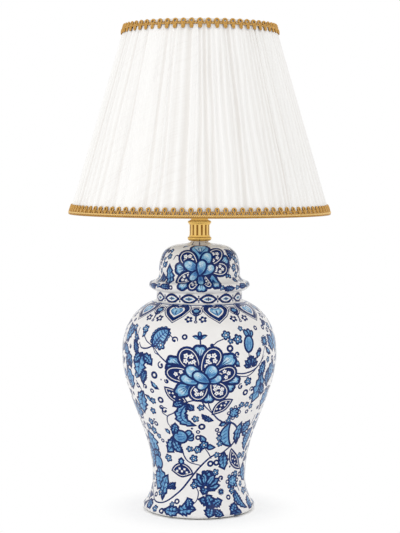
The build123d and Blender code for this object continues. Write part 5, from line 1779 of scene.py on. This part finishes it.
@dataclass
class PleatedShade:
    """The gathered cover, the lining stretched over the ribs, and the gold braid."""

    cone: Cone = field(default_factory=Cone)
    top: float = 674.3
    pleats: int = 96
    steps_per_pleat: int = 12
    rows: int = 32
    fold_depth: float = 2.7
    cloth: float = 0.4
    lining_low: float = 415.8
    lining_top: float = 669.8
    lining_inset: float = 6.6
    lining_slack: float = 0.25
    lining_cloth: float = 0.35
    lining_rows: int = 24
    lining_columns: int = 720
    flat_inset: float = 7.0
    ribs: int = 8
    low_braid: float = 413.8
    top_braid: float = 660.3
    low_loops: int = 100
    top_loops: int = 60

    def build(self, cover: Material, lining: Material, gold: Material) -> list[Piece]:
        """Makes the four pieces, which turn with the shade.

        Args:
            cover: The pleated cloth.
            lining: The lining's cloth.
            gold: The braid's thread.

        Returns:
            The cover, the lining and the two braids.
        """
        made = [self._cover(cover), self._lining(lining), self._bottom_braid(gold), self._top_braid(gold)]
        for piece, node in zip(made, ("shade_cover", "shade_lining", "bottom_braid", "top_braid")):
            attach(piece, "shade")
            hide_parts(node)
        return made

    def _folds(self, rise: Array) -> tuple[Array, Array]:
        """Where each point of the cloth stands round the shade, and how deep under the cone.

        Every column of points keeps its own place in its pleat, so each valley runs true from
        edge to edge. Pleats differ in width and depth, and a few lie back deeper. Over a pleat
        the cloth goes down to its valleys as |cos(π · place)|^1.6, and two finer gathers in
        each pleat, which differ from pleat to pleat, run over that.

        Args:
            rise: How far up the shade each row is, from 0 to 1, as a column.

        Returns:
            The angles and the depths in millimetres, by row and column.
        """
        rng = np.random.default_rng(29)
        width = np.exp(rng.normal(0, 0.30, self.pleats))
        edge = np.concatenate([[0], np.cumsum(width)])[:-1] / width.sum() * math.tau
        drift = rng.normal(0, 0.0075, (5, self.pleats))
        deep = np.clip(rng.normal(0.58, 0.24, self.pleats), 0.15, 1.0)
        deep = deep * rng.uniform(0.75, 1.2, (5, self.pleats))
        fine = rng.uniform(0.05, 0.3, (2, 5, self.pleats))
        place = np.arange(self.steps_per_pleat) / self.steps_per_pleat
        knots = len(drift) - 1

        def along(values: Array) -> Array:
            """The values of the five levels, drawn smoothly up the shade's rows."""
            at = np.clip(rise[:, 0] * knots, 0, knots - 1e-4)
            low = at.astype(int)
            share = (at - low)[:, None]
            share = share * share * (3 - 2 * share)
            return values[low] * (1 - share) + values[low + 1] * share

        start = edge + along(drift)
        span = np.roll(start, -1, 1) - start
        span[:, -1] += math.tau
        angle = start[..., None] + span[..., None] * place
        valley = along(deep)[..., None]
        down = (valley * (1 - place) + np.roll(valley, -1, 1) * place) \
            * np.abs(np.cos(math.pi * place)) ** 1.6
        gather = along(fine[0])[..., None] * np.sin(math.pi * place * 2) ** 2 \
            + along(fine[1])[..., None] * np.sin(math.pi * place * 4) ** 2
        swell = 0.1 + 0.1 * np.sin(angle * 19 + 3 * np.sin(2 * angle))
        depth = self.fold_depth * np.clip(0.74 * down + 0.55 * gather + swell, 0, 1.0)
        return angle.reshape(self.rows, -1), depth.reshape(self.rows, -1)

    def _skins(self, name: str, material: Material, surface: tuple,
               cloth: float, hollow: Array) -> tuple[Piece, Array]:
        """Makes a cloth under the cone: a face to the outside, and one a cloth's thickness in.

        Args:
            name: The object's name.
            material: The cloth.
            surface: The angle, the height and the depth under the cone of each point of the
                outer face, by row and column.
            cloth: The cloth's thickness.
            hollow: How much shade is painted into the cloth at each point, in the same way.

        Returns:
            The object, and the points of its outer face.
        """
        angle, z, depth = surface
        front, back = (stand(self.cone.radius(z) - inset, angle, z) for inset in (depth, depth + cloth))
        rows, columns = front.shape[:2]
        faces, corners = grid_faces(2 * rows, columns, around=True, over=True)
        up = np.concatenate([z[:, 0], z[::-1, 0], z[:1, 0]])[corners[..., 0]]
        along = corners[..., 1] / columns * math.tau * self.cone.radius(up)
        piece = put_mesh(name, np.concatenate([front, back[::-1]]).reshape(-1, 3), faces,
                         material, (np.stack([along, up], -1) * MM).reshape(-1, 2))
        both = np.concatenate([hollow, hollow[::-1]]).ravel().astype(np.float32)
        piece.data.attributes.new("hollow", "FLOAT", "POINT").data.foreach_set("value", both)
        return piece, front

    def _cover(self, material: Material) -> Piece:
        """The gathered cloth: the cone less its folds."""
        rise = np.linspace(0, 1, self.rows)[:, None]
        z = self.cone.low + rise * (self.top - self.cone.low)
        angle, depth = self._folds(rise)
        # Painted shade: the cloth is coloured darker the deeper its fold lies.
        hollow = np.clip((depth / self.fold_depth - 0.16) * 1.25, 0, 1)
        piece, front = self._skins("gathered_cover", material,
                                   (angle, z, depth), self.cloth, hollow)
        gap = np.linalg.norm(np.roll(front, -1, 1) - front, axis=2)
        self.cover_flat = (float(gap.sum(1).mean()) * MM, self.cone.slant(self.cone.low, self.top))
        return piece

    def _lining(self, material: Material) -> Piece:
        """The lining: drawn in a little between the ribs, with fine gathers at its edges."""
        angle = turns_of(self.lining_columns)[None]
        rise = np.linspace(0, 1, self.lining_rows)[:, None]
        z = self.lining_low + rise * (self.lining_top - self.lining_low)
        between = np.sin(angle * self.ribs / 2 + math.pi / 16) ** 2
        bow = 0.9 * between * np.sin(math.pi * (0.15 + 0.7 * rise))
        gather = 0.22 * np.sin(angle * 120 + 2 * np.sin(5 * angle)) \
            * (1 - np.sin(math.pi * rise) * 0.6)
        inset = self.lining_inset + self.lining_slack + bow + gather
        # Painted shade: the lining is coloured darker where it is drawn in between the ribs.
        piece, _ = self._skins("stretched_lining", material, (angle, z, inset),
                               self.lining_cloth, between * 0.12 + 0 * rise)
        girth = math.tau * (self.cone.radius((self.lining_low + self.lining_top) / 2) - self.flat_inset)
        self.lining_flat = (girth * MM, self.cone.slant(self.lining_low, self.lining_top))
        return piece

    def _bottom_braid(self, material: Material) -> Piece:
        """An edge cord, a twisted band, low rings and tall drops that stand up from them."""
        braid = Braid(self.cone, self.low_braid, self.low_loops)
        drop = smooth([(-0.8, 4.2), (-0.7, 6.4), (-1.7, 8.4), (-2.2, 10.6), (-1.4, 12.4),
                       (0, 13.0), (1.4, 12.4), (2.2, 10.6), (1.7, 8.4), (0.7, 6.4), (0.8, 4.2)], 2)
        lift = 0.9 + 0.25 * np.sin(np.linspace(0, 9, len(drop)))
        braid.strand(1.05, 0.6, 0.95, per_turn=3, sides=8, kind=-1)
        for start in (0.0, 0.5):
            braid.strand(3.2, 1.0, 0.95, 0.8, 2, start, kind=1)
        braid.cord(braid.oval(braid.half, 6.7, 2.0, 1.7, 0.85, 0.2, 12), 0.78, 6)
        braid.cord(np.column_stack([drop, lift]), 1.3, 6)
        return braid.build("gimp_bottom", material)

    def _top_braid(self, material: Material) -> Piece:
        """Ringed heads along the rim, a chain of links, and round tongues that hang down."""
        braid = Braid(self.cone, self.top_braid, self.top_loops)
        tongue = smooth([(-1.4, 7.0), (-1.6, 4.6), (-1.3, 2.6), (0, 1.9), (1.3, 2.6),
                         (1.6, 4.6), (1.4, 7.0)], 3)
        middle = np.array([(0, 7.2, 1.1), (0, 5.8, 1.3), (0, 4.2, 1.3), (0, 3.1, 1.0)])
        for start, kind in ((0.0, 0), (0.5, 1)):
            braid.strand(7.6, 0.5, 0.62, 0.62, 3, start, kind=kind)
        braid.cord(np.column_stack([tongue, np.full(len(tongue), 0.8)]), 1.15, 6)
        braid.cord(middle, 1.25, 7, closed=False)
        braid.cord(braid.oval(0, 10.9, 2.65, 2.6, 0.85, 0.15, 18), 1.35, 7)
        braid.cord(braid.oval(braid.half, 8.9, 1.5, 1.2, 0.9, 0.2, 10), 0.55, 5)
        return braid.build("gimp_top", material)


# ---- felt and fittings


@dataclass
class FootFelt:
    """The felt ring glued under the foot."""

    inner: float = 64.5
    outer: float = 71.5
    thickness: float = 1.0
    columns: int = 180
    sides: int = 20

    def build(self, material: Material) -> Piece:
        """A ring whose section is a rounded bar with a faintly uneven edge."""
        angle, a = turns_of(self.columns)[:, None], turns_of(self.sides)
        middle, half = (self.inner + self.outer) / 2, (self.outer - self.inner) / 2
        bar = np.sign(np.cos(a)) * np.abs(np.cos(a)) ** 0.25
        rise = np.sign(np.sin(a)) * np.abs(np.sin(a)) ** 0.45
        fray = 0.12 * np.sin(angle * 37) * np.sin(angle * 11)
        r = middle + (half - 0.15 + fray * 0.8) * bar
        points = stand(r, angle, self.thickness / 2 + self.thickness * 0.49 * rise)
        faces, _ = grid_faces(self.columns, self.sides, around=True, over=True)
        piece = put_mesh("felt_ring", points.reshape(-1, 3), faces[:, ::-1], material)
        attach(piece, "lamp")
        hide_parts("foot_felt")
        return piece


class Fittings:
    """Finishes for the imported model's own pieces, each named as the material slot it is for."""

    finishes = (
        Metal("polished_brass", tint(228, 186, 104), 0.16, 0.05, (1.0, 1.0), 0.0015),
        Metal("brass_plate", tint(214, 172, 96), 0.3, 0.1, (1.0, 0.2)),
        Metal("plated_steel", tint(196, 198, 200), 0.34, 0.14),
        Metal("bulb_aluminium", tint(208, 208, 206), 0.3, 0.1),
        Metal("filament_wire", tint(120, 116, 110), 0.45, 0.1),
        Solid("black_plastic", tint(34, 34, 35), 0.42),
        Solid("phenolic", tint(30, 26, 24), 0.28, 0.1, 260, 0.01), Solid("rubber", tint(44, 44, 44), 0.75),
        Solid("insulating_board", tint(146, 120, 84), 0.85, 0.2, 520, 0.08),
        Solid("frame_paint", tint(236, 234, 228), 0.45, 0.04, 300, 0.02),
        Glass("bulb_glass", tint(250, 248, 243), 0.42, 0.25),
        Glass("clear_glass", tint(246, 248, 248), 0.04, 0.95))

    def dress(self) -> None:
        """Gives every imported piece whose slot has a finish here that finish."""
        slots = {part["node"]: part["material_slot"] for part in frame["record"]["subparts"]}
        shown = {node: slots[node] for node in frame["nodes"]}
        made = {finish.name: finish.make() for finish in self.finishes if finish.name in shown.values()}
        for node, piece in frame["nodes"].items():
            if shown[node] not in made:
                continue
            dressed = FlutedBrass().make() if node == "neck_barrel" else made[shown[node]]
            for holder in piece.material_slots:
                holder.material = dressed
            log.info("%s: %s", node, shown[node])


# ---- the studio


@dataclass
class Studio:
    """A white floor, soft lamps and the camera."""

    distance: float = 2.075
    eye: float = 0.483
    tilt: float = 3.92
    lens: float = 100.64
    sensor: float = 36.0
    world: float = 0.88
    roll: float = 0.16
    swing: float = -0.021
    floor_half: float = 6.0
    # How far from the middle the floor turns from plain to white, first under the foot.
    under_foot: Point = (0.0768, 0.0805)
    round_foot: Point = (0.078, 0.15)
    white: tuple = (1.0, 1.0, 1.0, 1.0)

    def build(self) -> None:
        """Makes the floor, the surroundings, the lamps and the camera."""
        self._floor()
        self._surroundings()
        self._lamp("key", (-1.75, -1.05, 0.95), (0, 0, 0.36), 0.9, 5.2)
        self._lamp("fill", (1.3, -1.5, 1.9), (0, 0, 0.56), 0.9, 3.6)
        self._lamp("back", (0.6, 1.8, 1.6), (0, 0, 0.4), 1.2, 3.0)
        self._camera()

    def _floor(self) -> None:
        """A plain floor that keeps the lamp's shadow near it and runs out into white."""
        graph = Graph("floor")
        far = graph.node("VectorMath", {"operation": "LENGTH"}, {0: graph.place()}, "Value")
        camera = graph.node("LightPath", output="Is Camera Ray")
        others = graph.beside(camera, "Is Glossy Ray") \
            + graph.beside(camera, "Is Transmission Ray")
        seen = graph.maths("MINIMUM", camera + others, 1.0)
        plain = graph.node("BsdfDiffuse", sockets={"Color": tint(250, 250, 250)})
        white = graph.node("Emission", sockets={"Color": self.white})
        away = (graph.range(far, *self.round_foot) * 0.4 + 0.6) * graph.range(far, *self.under_foot)
        shader = graph.node("MixShader", sockets={0: away * seen, 1: plain, 2: white})
        mesh = bpy.data.meshes.new("floor")
        half = self.floor_half
        mesh.from_pydata([(-half, -half, 0), (half, -half, 0), (half, half, 0),
                          (-half, half, 0)], [], [(0, 1, 2, 3)])
        mesh.materials.append(graph.end(shader))
        floor = add_object("floor", mesh)

    def _surroundings(self) -> None:
        """White for what the camera, gloss and glass see, and a plain level for the rest."""
        graph = Graph("studio", world=True)
        camera = graph.node("LightPath", output="Is Camera Ray")
        seen = graph.maths("MAXIMUM", camera, graph.beside(camera, "Is Glossy Ray"))
        seen = graph.maths("MAXIMUM", seen, graph.beside(camera, "Is Transmission Ray"))
        level = graph.node("MapRange", sockets={"Value": seen, "To Min": self.world, "To Max": 1.0})
        bpy.context.scene.world = graph.end(
            graph.node("Background", sockets={"Color": self.white, "Strength": level}))

    def _lamp(self, name: str, place: tuple, aim: tuple, size: float, power: float) -> None:
        """A soft square lamp at a place, turned to a point."""
        light = bpy.data.lights.new(name, "AREA")
        light.size, light.energy = size, power
        lamp = add_object(name, light)
        lamp.location = place
        lamp.rotation_euler = (Vector(aim) - Vector(place)).to_track_quat("-Z", "Y").to_euler()

    def _camera(self) -> None:
        """A long lens at the shade's height that looks a little down."""
        data = bpy.data.cameras.new("camera")
        data.lens, data.sensor_width = self.lens, self.sensor
        camera = add_object("camera", data)
        camera.location = (0.0, -self.distance, self.eye)
        turned, tilted, rolled = (
            Matrix.Rotation(math.radians(angle), 3, axis)
            for angle, axis in ((self.swing, "Z"), (90 - self.tilt, "X"), (self.roll, "Z")))
        camera.rotation_euler = (turned @ tilted @ rolled).to_euler()
        bpy.context.scene.camera = camera


def main() -> None:
    """Builds the lamp's pieces in order."""
    logging.basicConfig(level=logging.INFO, format="%(name)s: %(message)s")
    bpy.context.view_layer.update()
    bpy.context.scene.view_settings.view_transform = "Standard"
    Studio().build()
    glaze = Glaze().make()
    jar, lid = JarBody(), JarLid()
    jar.cut_inlet()
    for piece in (jar, lid):
        piece.paint()
        piece.build(glaze, "glazed_porcelain")
    shade = PleatedShade()
    cover, lining, low_braid, top_braid = shade.build(
        Cloth("pleated_cloth", tint(252, 251, 249), tint(238, 235, 231)).make(),
        Cloth("lining_cloth", tint(244, 242, 237), tint(222, 218, 210), 3.0).make(), GoldThread().make())
    FootFelt().build(Felt().make())
    Fittings().dress()


if __name__ == "__main__":
    main()
